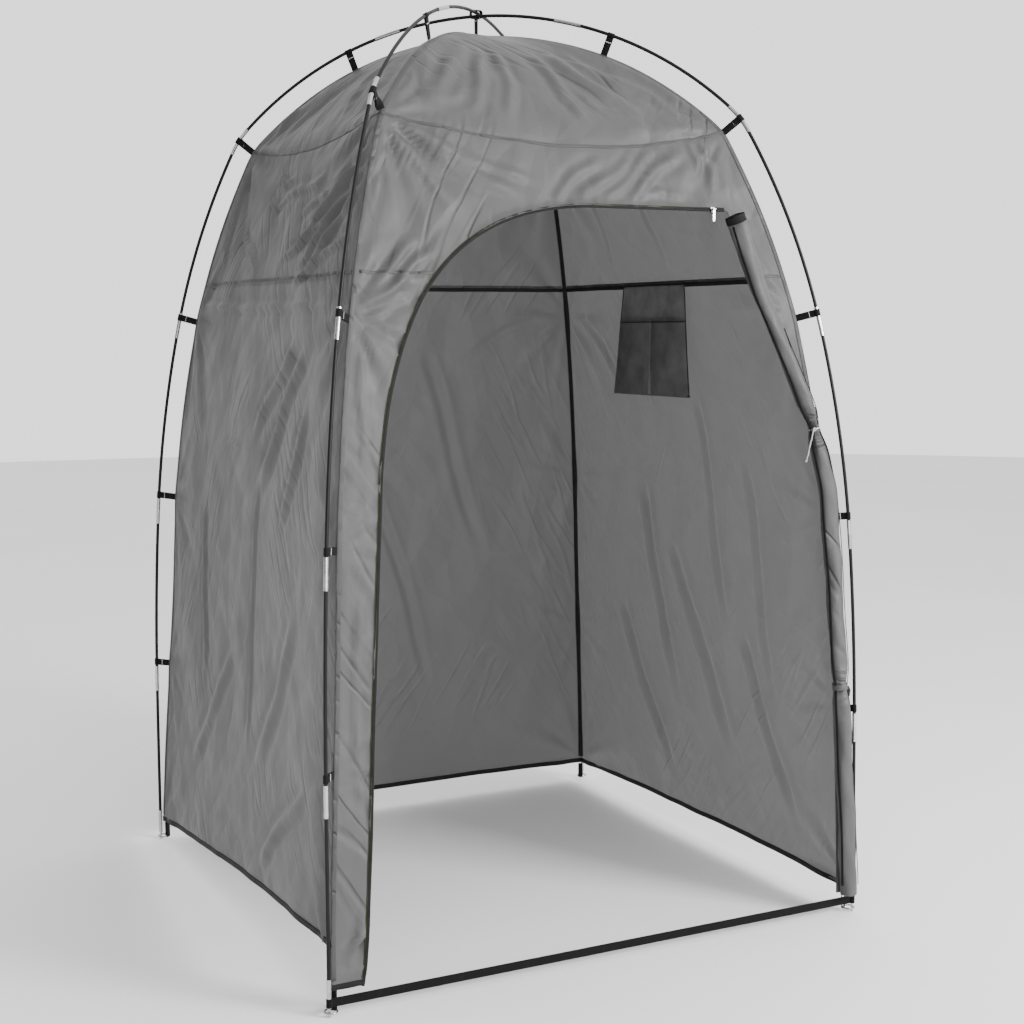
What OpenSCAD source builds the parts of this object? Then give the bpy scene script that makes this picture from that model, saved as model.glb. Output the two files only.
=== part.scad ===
// Free-standing privacy tent: two crossed shock-corded poles outside, a square fabric cabin hung
// inside them by webbing straps. The origin is the middle of the footprint, on the ground.
// The door wall faces -Y. Lengths are in millimetres and angles in degrees.

/* [Frame] */
// Distance between neighbouring feet, centre to centre
foot_spacing = 1300; // [1200:10:1400]
// Heights of the four joints on each leg, the last one being the shoulder elbow
joint_heights = [440, 890, 1375, 1809]; // [400:1:1850]
// Inward lean of the pole at each of those joints
lean_angles = [0.6, 4.2, 13.6, 28.8]; // [0:0.2:35]
// Lean of the pole where the roof arc starts, above the elbow
roof_lean = 47; // [44:1:50]
// Bending radius of the shoulder elbows
elbow_bend = 200; // [180:5:240]
// Angle of the roof joints away from the top of the arc
roof_joint_angle = 14.6; // [12:0.2:18]
// How much higher the second pole's shoulders are, so that it crosses over the first
crossing_lift = 10; // [10:0.5:12]

/* [Poles] */
// Outer diameter of a fibreglass pole section
pole_d = 7.9; // [7:0.1:9.5]
// Bore of a pole section
pole_bore = 4; // [3.6:0.1:4.6]
// Outer diameter of a ferrule
ferrule_d = 9.6; // [9.2:0.1:11]
// Length of a straight ferrule
ferrule_length = 66; // [55:1:80]
// How far a pole goes into an elbow ferrule, past the bend
elbow_socket = 6; // [4:0.5:8]
// Diameter of the elastic shock cord
shock_cord_d = 2.6; // [2:0.1:3]

/* [Feet] */
// Height at which the fibreglass of a leg starts, above the ground
leg_start = 70; // [60:1:90]
// Diameter of the thin pin at the bottom of a pole tip
pin_d = 5; // [4:0.5:6]
// Radius of a foot ring to the middle of its wire
ring_radius = 13; // [11:0.5:16]
// Diameter of the ring's wire
ring_wire = 3.5; // [3:0.5:4]

/* [Webbing] */
// Width of the hanging straps
strap_w = 16; // [12:1:20]
// Thickness of the webbing
strap_t = 1.3; // [1:0.1:1.6]
// Height of the threshold strap's band
threshold_w = 18; // [15:1:25]

/* [Fabric] */
// Gap between a pole and the fabric corner where the straps hold it
strap_gap = 48; // [40:1:55]
// The same gap down at the hem
hem_gap = 8; // [7:0.5:12]
// Thickness given to the fabric solids
fabric_t = 1.6; // [1.2:0.1:2]
// Height of the hem at the corners
hem_height = 50; // [45:1:70]
// Height of the left wall's hem at its front end
left_hem_front = 140; // [60:5:160]
// Height of the horizontal seam round the walls
waist_height = 1478; // [1450:1:1500]
// Width of the dark binding along the hem
binding_w = 14; // [10:1:20]

/* [Door] */
// Height of the top of the doorway
door_top = 1622; // [1600:1:1640]
// Width of the zip tape
zip_w = 11; // [9:1:14]
// Radius of the rolled door
roll_radius = 21.5; // [18:0.5:23]
// Length of the zip's pull tab
pull_length = 27; // [20:1:32]

/* [Organiser] */
// Width of the organiser along its top
organiser_top = 299; // [260:1:320]
// Height of the organiser
organiser_height = 290; // [240:5:300]
// Height of its pockets
pocket_height = 195; // [150:5:200]
// Depth of its pockets
pocket_depth = 17; // [12:1:25]

/* [Hidden] */
$fn = 48;

foot_radius = foot_spacing / sqrt(2);
pole_r = pole_d / 2;
ferrule_r = ferrule_d / 2;
fit = 0.05;             // radial clearance of the pull's eye on its bar
socket_fit = 0.15;      // radial clearance of a pole in a ferrule
butt = 0.5;             // half the gap between two pole ends
loop_clear = 0.15;      // radial clearance of a webbing loop round a pole
skin_gap = 0.3;         // gap between neighbouring fabric pieces
elbow = 4;              // index of the elbow arc, after the four leg arcs
roof = 5;               // index of the roof arc
corner_angles = [-135, -45, 45, 135];  // front left, front right, back right, back left
strap_heights = [485, 933, 1395];
strap_roof_angle = 68.4;
gap_height = 750;       // the fabric stands its full gap from the pole above this height
eave_lean = (lean_angles[3] + roof_lean) / 2;
far = 1000;

// The front left and back right legs belong to the upper pole
function lift_of(corner) = corner % 2 == 0 ? crossing_lift : 0;

// --- The pole's curve: arcs that run into each other without a kink. ---
// Each arc's points are centre + radius * [cos(a), sin(a)] in the plane of radius and height, and a is
// also the pole's lean there.

function lean(i) = i == 0 ? 0 : i == roof ? roof_lean : lean_angles[i - 1];
function joint_z(i, lift) = i == 0 ? 0
    : i < 4 ? joint_heights[i - 1]
    : joint_heights[3] + lift + (i == roof ? elbow_bend * (sin(roof_lean) - sin(lean(4))) : 0);
function arc_radius(i, lift) = i == elbow ? elbow_bend
    : i == roof ? joint_r(roof, lift) / cos(roof_lean)
    : (joint_z(i + 1, lift) - joint_z(i, lift)) / (sin(lean(i + 1)) - sin(lean(i)));
function joint_r(i, lift) = i == 0 ? foot_radius
    : joint_r(i - 1, lift) - arc_radius(i - 1, lift) * (cos(lean(i - 1)) - cos(lean(i)));
function arc_centre(i, lift) = [
    joint_r(i, lift) - arc_radius(i, lift) * cos(lean(i)),
    joint_z(i, lift) - arc_radius(i, lift) * sin(lean(i))
];
// The angle on arc i of the point at a height, at a distance inside the pole's centre line
function angle_at(i, lift, z, inside) =
    asin((z - arc_centre(i, lift)[1]) / (arc_radius(i, lift) - inside));
// The angle that a length takes up on arc i
function turn(i, lift, length) = length / arc_radius(i, lift) * 180 / PI;
// A point at a distance inside the pole's centre line, as radius and height
function inside_point(i, lift, a, inside) =
    arc_centre(i, lift) + (arc_radius(i, lift) - inside) * [cos(a), sin(a)];

// Sweeps a flat outline, drawn round the origin, along arc i from angle a to angle b
module arc(i, lift, a, b) {
    centre = arc_centre(i, lift);
    translate([centre[0], 0, centre[1]])
        rotate([90, 0, 0])
            rotate_extrude(angle = b - a, start = a, $fn = 360)
                translate([arc_radius(i, lift), 0])
                    children();
}

// Puts its children on the pole: X points out of the arc, and Z runs up along the pole
module on_pole(i, lift, a) {
    place = inside_point(i, lift, a, 0);
    translate([place[0], 0, place[1]])
        rotate([0, -a, 0])
            children();
}

module ring_outline(outer_r, inner_r) {
    difference() {
        circle(r = outer_r);
        circle(r = inner_r);
    }
}

// --- Poles ---

module leg_section(corner, i) {
    lift = lift_of(corner);
    first = i == 0 ? angle_at(0, lift, leg_start, 0) : lean(i) + turn(i, lift, butt);
    color([0.08, 0.08, 0.09])
        rotate([0, 0, corner_angles[corner]])
            arc(i, lift, first, lean(i + 1) - turn(i, lift, butt))
                ring_outline(pole_r, pole_bore / 2);
}

// Part of the roof arc of one pole, between two angles, seen from the corner that it starts at
module roof_section(corner, a, b) {
    lift = lift_of(corner);
    color([0.08, 0.08, 0.09])
        rotate([0, 0, corner_angles[corner]])
            arc(roof, lift, a + turn(roof, lift, butt), b - turn(roof, lift, butt))
                ring_outline(pole_r, pole_bore / 2);
}

// A straight ferrule, bent only as much as the pole in it, with its middle at an angle on arc i
module ferrule(i, lift, middle) {
    half = turn(i, lift, ferrule_length / 2);
    arc(i, lift, middle - half, middle + half)
        ring_outline(ferrule_r, pole_r + socket_fit);
}

module pole_ferrules(first_corner) {
    lift = lift_of(first_corner);
    color([0.78, 0.79, 0.8])
        for (corner = [first_corner, first_corner + 2])
            rotate([0, 0, corner_angles[corner]]) {
                for (i = [1:3])
                    ferrule(i, lift, lean(i));
                ferrule(roof, lift, 90 - roof_joint_angle);
            }
}

module pole_elbows(first_corner) {
    lift = lift_of(first_corner);
    socket = turn(elbow, lift, elbow_socket);
    color([0.78, 0.79, 0.8])
        for (corner = [first_corner, first_corner + 2])
            rotate([0, 0, corner_angles[corner]])
                arc(elbow, lift, lean(4) - socket, roof_lean + socket)
                    ring_outline(ferrule_r, pole_r + socket_fit);
}

// Points along half of a pole's centre line, from its foot to the crossing, spaced to follow each bend
cord_steps = [2, 3, 5, 7, 3, 13];
function half_line(lift) = [
    for (i = [0:roof])
        let (first = i == 0 ? angle_at(0, lift, leg_start - 4, 0) : lean(i))
        let (last = i == roof ? 90 : lean(i + 1))
        for (k = [0:cord_steps[i] - (i == roof ? 0 : 1)])
            let (p = inside_point(i, lift, first + (last - first) * k / cord_steps[i], 0))
            [p[0], 0, p[1]]
];

module shock_cord(first_corner) {
    near = half_line(lift_of(first_corner));
    rest = [for (k = [len(near) - 2:-1:0]) [-near[k][0], 0, near[k][2]]];
    color([0.85, 0.85, 0.82])
        rotate([0, 0, corner_angles[first_corner]])
            tube(concat(near, rest), [for (p = concat(near, rest)) shock_cord_d / 2], 8);
}

// --- Feet ---

tip_height = 18;        // where the tip's tube starts, above its pin
tip_socket = 8;         // how far the leg goes into its tip
ring_z = 9;
ring_inset = ring_radius - ring_wire / 2 - pin_d / 2 - 0.4;

module at_feet() {
    for (angle = corner_angles)
        rotate([0, 0, angle])
            translate([foot_radius, 0, 0])
                children();
}

module pole_tips() {
    color([0.78, 0.79, 0.8])
        at_feet()
            difference() {
                union() {
                    cylinder(d = pin_d, h = tip_height);
                    translate([0, 0, tip_height])
                        cylinder(r = ferrule_r, h = leg_start + tip_socket - tip_height);
                }
                translate([0, 0, leg_start - 5])
                    cylinder(r = pole_r + 3 * fit, h = far);
            }
}

module foot_rings() {
    color([0.8, 0.8, 0.82])
        at_feet()
            translate([-ring_inset, 0, ring_z])
                rotate_extrude()
                    translate([ring_radius, 0])
                        circle(d = ring_wire);
}

// A doubled strap of webbing from the hem's corner down round the ring's inner side. Its eye is longer
// than the wire is thick, because the ring curves away under the webbing's edges.
module foot_webbing() {
    wire = ring_inset + ring_radius;
    width = strap_w - 4;
    bow = ring_radius - sqrt(ring_radius * ring_radius - width * width / 4) + 0.1;
    inner_r = ring_wire / 2 + loop_clear;
    outer_r = inner_r + strap_t;
    top = hem_height - 2;
    color([0.06, 0.06, 0.06])
        at_feet()
            translate([-wire, 0, ring_z])
                rotate([90, 0, 0])
                    linear_extrude(height = width, center = true)
                        difference() {
                            webbing_outline(outer_r, bow, top - ring_z);
                            webbing_outline(inner_r, bow, top - ring_z - 6);
                        }
}

module webbing_outline(r, bow, height) {
    circle(r = r);
    translate([bow, 0])
        circle(r = r);
    translate([0, -r])
        square([bow, 2 * r]);
    translate([-r, 0])
        square([2 * r + bow, height]);
}

module threshold_strap() {
    bottom = 20;
    loop_r = ferrule_r + loop_clear;
    half = foot_spacing / 2;
    color([0.06, 0.06, 0.06])
        translate([0, -half, bottom])
            linear_extrude(height = threshold_w)
                difference() {
                    union() {
                        for (side = [-1, 1])
                            translate([side * half, 0])
                                circle(r = loop_r + strap_t);
                        square([foot_spacing, 2 * strap_t], center = true);
                    }
                    for (side = [-1, 1])
                        translate([side * half, 0])
                            circle(r = loop_r);
                }
}

// --- Straps between the poles and the fabric ---

function smooth_step(t) = t <= 0 ? 0 : t >= 1 ? 1 : t * t * (3 - 2 * t);
function gap_at(z) = hem_gap + (strap_gap - hem_gap) * smooth_step(z / gap_height);

// A webbing loop round something of radius hold_r, with its ends sewn to the fabric corner
module strap(hold_r, gap) {
    loop_r = hold_r + loop_clear;
    linear_extrude(height = strap_w, center = true)
        difference() {
            union() {
                circle(r = loop_r + strap_t);
                translate([skin_gap - gap, -strap_t])
                    square([gap - skin_gap, 2 * strap_t]);
            }
            circle(r = loop_r);
        }
}

module corner_straps(corner) {
    lift = lift_of(corner);
    color([0.06, 0.06, 0.06])
        rotate([0, 0, corner_angles[corner]]) {
            for (i = [1:3]) {
                z = strap_heights[i - 1];
                on_pole(i, lift, angle_at(i, lift, z, 0))
                    strap(i == 3 ? ferrule_r : pole_r, gap_at(z));
            }
            on_pole(elbow, lift, eave_lean)
                strap(ferrule_r + 0.5, strap_gap);
            on_pole(roof, lift, strap_roof_angle)
                strap(pole_r, strap_gap);
        }
}

// A loop over both poles where they cross, down to the fabric's peak
module apex_strap() {
    lower = arc_centre(roof, 0)[1] + arc_radius(roof, 0);
    upper = arc_centre(roof, crossing_lift)[1] + arc_radius(roof, crossing_lift);
    half_w = 13.5;
    low = lower - pole_r - 0.6;
    high = upper + pole_r + 0.6;
    peak = lower - strap_gap + skin_gap;
    color([0.06, 0.06, 0.06])
        rotate([90, 0, 0])
            linear_extrude(height = strap_w - 2, center = true)
                difference() {
                    union() {
                        translate([-half_w - strap_t, low - strap_t])
                            square([2 * (half_w + strap_t), high - low + 2 * strap_t]);
                        translate([-strap_t, peak])
                            square([2 * strap_t, low - peak]);
                    }
                    translate([-half_w, low])
                        square([2 * half_w, high - low]);
                }
}

// --- Fabric: every wall and gore has the same outline of half width against height ---

steps = 4;

// Points of the fabric outline on arc i between two angles; depth moves them into the tent
function outline(i, a, b, depth) = [
    for (k = [0:steps])
        let (angle = a + (b - a) * k / steps)
        let (z = inside_point(i, 0, angle, 0)[1])
        let (p = inside_point(i, 0, angle, gap_at(z) + depth))
        [p[0] / sqrt(2), p[1]]
];
waist_lean = angle_at(3, 0, waist_height, strap_gap);
hem_lean = angle_at(0, 0, hem_height, hem_gap);

function lower_outline(depth) = concat(
    outline(0, hem_lean, lean(1) * (steps - 1) / steps, depth),
    outline(1, lean(1), lean(2) - (lean(2) - lean(1)) / steps, depth),
    outline(2, lean(2), lean(3) - (lean(3) - lean(2)) / steps, depth),
    outline(3, lean(3), waist_lean, depth)
);
function upper_outline(depth) = concat(
    outline(3, waist_lean, lean(4) - (lean(4) - waist_lean) / steps, depth),
    outline(elbow, lean(4), eave_lean, depth)
);
function roof_outline(depth) = concat(
    outline(elbow, eave_lean, roof_lean - (roof_lean - eave_lean) / steps, depth),
    outline(roof, roof_lean, 68, depth),
    outline(roof, 70, 90, depth)
);
function reversed(points) = [for (k = [len(points) - 1:-1:0]) points[k]];
function skin_outline(outer, inner) = concat(outer, reversed(inner));

// Everything within the quarter of the tent that faces +X, less half a gap at each corner
module quarter() {
    linear_extrude(height = 2200)
        polygon([[skin_gap, 0], [far, far - skin_gap], [far, skin_gap - far]]);
}

module skin(outer, inner, angle) {
    rotate([0, 0, angle])
        intersection() {
            rotate([90, 0, 0])
                linear_extrude(height = 2 * far, center = true)
                    polygon(skin_outline(outer, inner));
            quarter();
        }
}

t = fabric_t * sqrt(2);
FRONT = -90;
RIGHT = 0;
BACK = 90;
LEFT = 180;

module lower_skin(angle, out, depth) {
    skin(lower_outline(out), lower_outline(depth), angle);
}

module upper_skin(angle) {
    skin(upper_outline(0), upper_outline(t), angle);
}

// Everything below a sloping line across the left wall, raised by some height
module under_left_hem(raise) {
    rise = left_hem_front - hem_height;
    start = foot_spacing / 2;
    translate([-far, 0, 0])
        rotate([90, 0, 90])
            linear_extrude(height = far / 2 + 300)
                polygon([
                    [start, 0], [start, hem_height + raise],
                    [-start, hem_height + rise + raise], [-start, 0]
                ]);
}

module under_hem(raise) {
    translate([-far, -far, 0])
        cube([2 * far, 2 * far, hem_height + raise]);
}

grey = [0.4, 0.4, 0.41];

module left_wall_lower() {
    color(grey)
        difference() {
            lower_skin(LEFT, 0, t);
            under_left_hem(binding_w + skin_gap);
        }
}

module plain_wall_lower(angle) {
    color(grey)
        difference() {
            lower_skin(angle, 0, t);
            under_hem(binding_w + skin_gap);
        }
}

module wall_upper(angle) {
    color(grey)
        difference() {
            upper_skin(angle);
            translate([-far, -far, 0])
                cube([2 * far, 2 * far, waist_height + skin_gap]);
        }
}

module roof_gore(angle) {
    color(grey)
        difference() {
            skin(roof_outline(0), roof_outline(t), angle);
            // leaves room under the apex strap, where the gores meet
            cylinder(r = 1, h = 3000);
        }
}

// --- Doorway: an upright zip on the left that curves over into a level top ---

zip_foot = [-565, hem_height];
zip_bend = [-500, 1000];
zip_level = 60;         // where the level stretch of the zip starts
zip_end = 384;
bend_steps = 10;

function curve_point(p, u) = p[0] * pow(1 - u, 3) + p[1] * 3 * u * pow(1 - u, 2)
    + p[2] * 3 * u * u * (1 - u) + p[3] * pow(u, 3);
zip_curve = [zip_bend, [-470, 1420], [-300, door_top], [zip_level, door_top]];
zip_path = concat(
    [zip_foot],
    [for (k = [0:bend_steps]) curve_point(zip_curve, k / bend_steps)],
    [[zip_end, door_top]]
);
// The zip's line moved sideways into the fabric
function moved(path, k, side) =
    let (a = path[max(k - 1, 0)], b = path[min(k + 1, len(path) - 1)], d = b - a)
    path[k] + side * [-d[1], d[0]] / norm(d);
function beside(side) = [for (k = [0:len(zip_path) - 1]) moved(zip_path, k, side)];
sewn_curve = [[392, door_top], [420, 1440], [505, 1300], [600, 1090]];
function sewn_edge(shift) = [
    for (k = [0:6]) curve_point(sewn_curve, k / 6) + [shift, 0]
];

// The doorway, cut right through the front wall; side widens it for the zip tape
module doorway(side) {
    rotate([90, 0, 0])
        linear_extrude(height = far)
            polygon(concat(
                [[zip_foot[0] - side, 0]],
                beside(side),
                [[zip_end + side, door_top + side]],
                sewn_edge(side / 2),
                [[720, 1000], [720, 0]]
            ));
}

module front_panel_part(low, high, left, right) {
    color(grey)
        intersection() {
            difference() {
                union() {
                    lower_skin(FRONT, 0, t);
                    upper_skin(FRONT);
                }
                doorway(zip_w + skin_gap);
            }
            translate([left, -far, low])
                cube([right - left, far, high - low]);
        }
}

module front_left_panel() {
    front_panel_part(hem_height + binding_w + skin_gap, waist_height - skin_gap, -far, -200);
}

module front_upper_panel() {
    front_panel_part(waist_height + skin_gap, 1900, -far, far);
}

module front_right_panel() {
    front_panel_part(900, waist_height - skin_gap, 200, far);
}

module zip_tape() {
    color([0.1, 0.11, 0.08])
        intersection() {
            union() {
                lower_skin(FRONT, 0, t);
                upper_skin(FRONT);
            }
            rotate([90, 0, 0])
                linear_extrude(height = far)
                    polygon(concat(beside(0), reversed(beside(zip_w))));
        }
}

// --- Zip slider and pull ---

slider_x = 352;
slider_w = 11;
slider_angle = angle_at(3, 0, door_top, strap_gap);
slider_point = inside_point(3, 0, slider_angle, strap_gap + t / 2);
wall_slope = atan(tan(slider_angle) / sqrt(2));
bar_d = 1.8;
bar_out = 7;            // how far the pull's bar stands off the middle of the tape
bar_up = 3;

// The slider's own frame: X along the zip, Y into the tent, Z up along the tape
module at_slider() {
    translate([slider_x, -slider_point[0] / sqrt(2), slider_point[1]])
        rotate([-wall_slope, 0, 0])
            children();
}

module zip_slider() {
    plate = 1.6;
    slot = fabric_t + 1.6;
    depth = slot + 2 * plate;
    color([0.75, 0.75, 0.76])
        at_slider() {
            difference() {
                translate([-slider_w / 2, -depth / 2, -4])
                    cube([slider_w, depth, 13]);
                translate([-slider_w, -slot / 2, -1])
                    cube([2 * slider_w, slot, 20]);
            }
            for (side = [-1, 1])
                translate([side * 4, -bar_out, bar_up])
                    rotate([0, 90, 0]) {
                        cylinder(d = 3.2, h = 1.6, center = true);
                        translate([-1.6, 0, -0.8])
                            cube([3.2, bar_out - depth / 2 + 0.2, 1.6]);
                    }
            translate([0, -bar_out, bar_up])
                rotate([0, 90, 0])
                    cylinder(d = bar_d, h = 8, center = true);
        }
}

// The bar's middle in the tent's own frame
bar_y = -slider_point[0] / sqrt(2) - bar_out * cos(wall_slope) + bar_up * sin(wall_slope);
bar_z = slider_point[1] + bar_out * sin(wall_slope) + bar_up * cos(wall_slope);

module zip_pull() {
    eye_w = 5.6;
    color([0.85, 0.85, 0.86])
        translate([slider_x, bar_y, bar_z])
            difference() {
                union() {
                    rotate([0, 90, 0])
                        cylinder(d = bar_d + 2.2, h = eye_w, center = true);
                    translate([-eye_w / 2, -0.6, -pull_length])
                        cube([eye_w, 1.2, pull_length - 1.5]);
                }
                rotate([0, 90, 0])
                    cylinder(d = bar_d + 2 * fit, h = 20, center = true);
                translate([0, 0, 4 - pull_length])
                    rotate([90, 0, 0])
                        cylinder(d = 2.4, h = 20, center = true);
            }
}

// --- Rolled door ---

function half_width(z) = lookup(z, [for (p = concat(lower_outline(0), upper_outline(0))) [p[1], p[0]]]);
// Middle of the roll across the tent, at each height, from the bottom up
roll_points = [[50, 627], [300, 617], [540, 608], [800, 595], [1000, 580], [1134, 552],
    [1230, 516], [1330, 474], [1430, 436], [1530, 408], [1612, 392]];
// How far the roll's middle stands off the front wall, at each height
roll_out = [[50, 21], [400, 26], [1700, 26]];
roll_sides = 16;
tie_heights = [540, 1134];
// The roll is pinched by its ties
function roll_r(z) = roll_radius
    - 5 * exp(-pow((z - tie_heights[0]) / 30, 2))
    - 10 * exp(-pow((z - tie_heights[1]) / 32, 2));
function roll_place(z) = [lookup(z, roll_points), -half_width(z) - lookup(z, roll_out), z];
// The slices lie close together at the ties
roll_zs = concat(
    [50, 120, 200, 280, 360, 430, 480],
    [for (dz = [-35, -20, -9, 0, 9, 20, 35]) tie_heights[0] + dz],
    [600, 680, 770, 860, 940, 1010, 1060],
    [for (dz = [-45, -30, -16, 0, 16, 30, 45]) tie_heights[1] + dz],
    [1230, 1280, 1330, 1380, 1430, 1480, 1530, 1575, 1612]
);

// A closed tube through some points, with one radius for each point
module tube(points, radii, sides) {
    count = len(points);
    rings = [
        for (k = [0:count - 1])
            let (d = points[min(k + 1, count - 1)] - points[max(k - 1, 0)])
            let (along = d / norm(d))
            let (across = cross(along, [0, 1, 0]) / norm(cross(along, [0, 1, 0])))
            let (up = cross(across, along))
            for (j = [0:sides - 1])
                points[k] + radii[k] * (cos(360 * j / sides) * across + sin(360 * j / sides) * up)
    ];
    walls = [
        for (k = [0:count - 2])
            for (j = [0:sides - 1])
                let (a = k * sides + j, b = k * sides + (j + 1) % sides)
                [a, b, b + sides, a + sides]
    ];
    ends = [
        [for (j = [sides - 1:-1:0]) j],
        [for (j = [0:sides - 1]) (count - 1) * sides + j]
    ];
    polyhedron(rings, concat(walls, ends), convexity = 4);
}

module door_roll() {
    color(grey)
        tube([for (z = roll_zs) roll_place(z)], [for (z = roll_zs) roll_r(z)], roll_sides);
}

// Puts its children round the roll at a height, with Z along it
module on_roll(z) {
    d = roll_place(z + 20) - roll_place(z - 20);
    translate(roll_place(z))
        rotate([0, acos(d[2] / norm(d)), atan2(d[1], d[0])])
            children();
}

module door_tie_upper() {
    cord_r = 1.5;
    color([0.8, 0.8, 0.78])
        on_roll(tie_heights[1])
            rotate_extrude()
                translate([roll_r(tie_heights[1]) + cord_r + 0.4, 0])
                    circle(r = cord_r);
}

module door_tie_lower() {
    inner = roll_r(tie_heights[0]) + 0.8;
    color(grey)
        on_roll(tie_heights[0])
            rotate_extrude()
                translate([inner, -7])
                    square([1.2, 14]);
}

// The free end of the upper tie, from the knot at the front of the roll
knot = roll_place(tie_heights[1]) + [-10, -12.7, -1];
tail_points = [[0, 0, 0], [-3, -3, -1], [-6, -5, -4], [-8, -6, -9], [-9, -6, -15], [-10, -5, -22],
    [-12, -4, -30], [-14, -4, -38], [-16, -4, -46], [-18, -5, -54], [-21, -5, -62], [-24, -5, -70]];
tail_d = 3;

module tie_tail() {
    color([0.85, 0.85, 0.83])
        tube([for (p = tail_points) knot + p], [for (p = tail_points) tail_d / 2], 8);
}

// --- Bindings ---

module edge_bindings() {
    cuff = 0.5;
    color([0.1, 0.1, 0.1]) {
        for (angle = [RIGHT, BACK, FRONT])
            intersection() {
                lower_skin(angle, -cuff, t + cuff);
                if (angle == FRONT)
                    translate([-far, -far, hem_height])
                        cube([far + zip_foot[0] - zip_w, far, binding_w]);
                else
                    translate([-far, -far, hem_height])
                        cube([2 * far, 2 * far, binding_w]);
            }
        difference() {
            intersection() {
                lower_skin(LEFT, -cuff, t + cuff);
                under_left_hem(binding_w);
            }
            under_left_hem(0);
        }
        // Tape on the inside of the seam round the walls
        for (angle = [RIGHT, BACK, LEFT])
            intersection() {
                lower_skin(angle, t + 0.1, t + 2);
                translate([-far, -far, waist_height - 12])
                    cube([2 * far, 2 * far, 9]);
            }
        // Tape up the inside of the back corners
        for (angle = [corner_angles[2], corner_angles[3]])
            rotate([0, 0, angle])
                rotate([90, 0, 0])
                    linear_extrude(height = 8, center = true)
                        polygon([
                            for (p = concat(lower_outline(t + 6), reversed(lower_outline(t + 7.5))))
                                if (p[1] > hem_height + 20 && p[1] < waist_height - 14)
                                    [p[0] * sqrt(2), p[1]]
                        ]);
    }
}

// --- Organiser, hung from the seam tape on the inside of the right wall ---

organiser_x = half_width(waist_height) - 7;
organiser_z = waist_height - 2;
organiser_y = -112;
sheet_t = 1.2;
flare_left = 53;
flare_right = 31;
pocket_split = 48;      // where the pockets part, across the tent

function organiser_edge(side, z) = side < 0
    ? organiser_y - flare_right * (organiser_z - z) / organiser_height
    : organiser_y + organiser_top + flare_left * (organiser_z - z) / organiser_height;

module organiser_back() {
    bottom = organiser_z - organiser_height;
    color([0.12, 0.12, 0.13])
        translate([organiser_x, 0, 0])
            rotate([90, 0, 90])
                linear_extrude(height = sheet_t)
                    polygon([
                        [organiser_edge(-1, bottom), bottom], [organiser_edge(1, bottom), bottom],
                        [organiser_edge(1, organiser_z), organiser_z],
                        [organiser_edge(-1, organiser_z), organiser_z]
                    ]);
}

// A pocket is a tray on edge, open at its top and closed behind by the organiser's back
module pocket(low_y, high_y) {
    bottom = organiser_z - organiser_height;
    difference() {
        translate([organiser_x - pocket_depth, low_y, bottom])
            cube([pocket_depth - 0.05, high_y - low_y, pocket_height]);
        translate([organiser_x - pocket_depth + sheet_t, low_y + sheet_t, bottom + sheet_t])
            cube([pocket_depth, high_y - low_y - 2 * sheet_t, pocket_height]);
    }
}

module organiser_pockets() {
    rim = organiser_z - organiser_height + pocket_height;
    color([0.07, 0.07, 0.08]) {
        pocket(organiser_edge(-1, rim) + 2, pocket_split - 2);
        pocket(pocket_split + 2, organiser_edge(1, rim) - 2);
    }
}

leg_section(0, 0);  // front_left_leg_section_1
leg_section(0, 1);  // front_left_leg_section_2
leg_section(0, 2);  // front_left_leg_section_3
leg_section(0, 3);  // front_left_leg_section_4
leg_section(1, 0);  // front_right_leg_section_1
leg_section(1, 1);  // front_right_leg_section_2
leg_section(1, 2);  // front_right_leg_section_3
leg_section(1, 3);  // front_right_leg_section_4
leg_section(2, 0);  // back_right_leg_section_1
leg_section(2, 1);  // back_right_leg_section_2
leg_section(2, 2);  // back_right_leg_section_3
leg_section(2, 3);  // back_right_leg_section_4
leg_section(3, 0);  // back_left_leg_section_1
leg_section(3, 1);  // back_left_leg_section_2
leg_section(3, 2);  // back_left_leg_section_3
leg_section(3, 3);  // back_left_leg_section_4
roof_section(1, roof_lean, 90 - roof_joint_angle);  // lower_pole_roof_section_right
roof_section(1, 90 - roof_joint_angle, 90 + roof_joint_angle);  // lower_pole_roof_section_middle
roof_section(3, roof_lean, 90 - roof_joint_angle);  // lower_pole_roof_section_left
roof_section(2, roof_lean, 90 - roof_joint_angle);  // upper_pole_roof_section_back
roof_section(2, 90 - roof_joint_angle, 90 + roof_joint_angle);  // upper_pole_roof_section_middle
roof_section(0, roof_lean, 90 - roof_joint_angle);  // upper_pole_roof_section_front
pole_ferrules(1);  // lower_pole_ferrules
pole_ferrules(0);  // upper_pole_ferrules
pole_elbows(1);  // lower_pole_elbows
pole_elbows(0);  // upper_pole_elbows
shock_cord(1);  // lower_pole_shock_cord
shock_cord(0);  // upper_pole_shock_cord
pole_tips();
foot_rings();
foot_webbing();
threshold_strap();
corner_straps(0);  // front_left_straps
corner_straps(1);  // front_right_straps
corner_straps(2);  // back_right_straps
corner_straps(3);  // back_left_straps
apex_strap();
left_wall_lower();
wall_upper(LEFT);  // left_wall_upper
plain_wall_lower(BACK);  // back_wall_lower
wall_upper(BACK);  // back_wall_upper
plain_wall_lower(RIGHT);  // right_wall_lower
wall_upper(RIGHT);  // right_wall_upper
front_left_panel();
front_upper_panel();
front_right_panel();
roof_gore(FRONT);  // roof_front
roof_gore(RIGHT);  // roof_right
roof_gore(BACK);  // roof_back
roof_gore(LEFT);  // roof_left
edge_bindings();
zip_tape();
zip_slider();
zip_pull();
door_roll();
door_tie_upper();
door_tie_lower();
tie_tail();
organiser_back();
organiser_pockets();
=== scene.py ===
"""The looks of the privacy tent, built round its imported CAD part."""

import math

import bpy
import numpy as np
from mathutils import Matrix, Vector, noise
from mathutils.bvhtree import BVHTree


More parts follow.
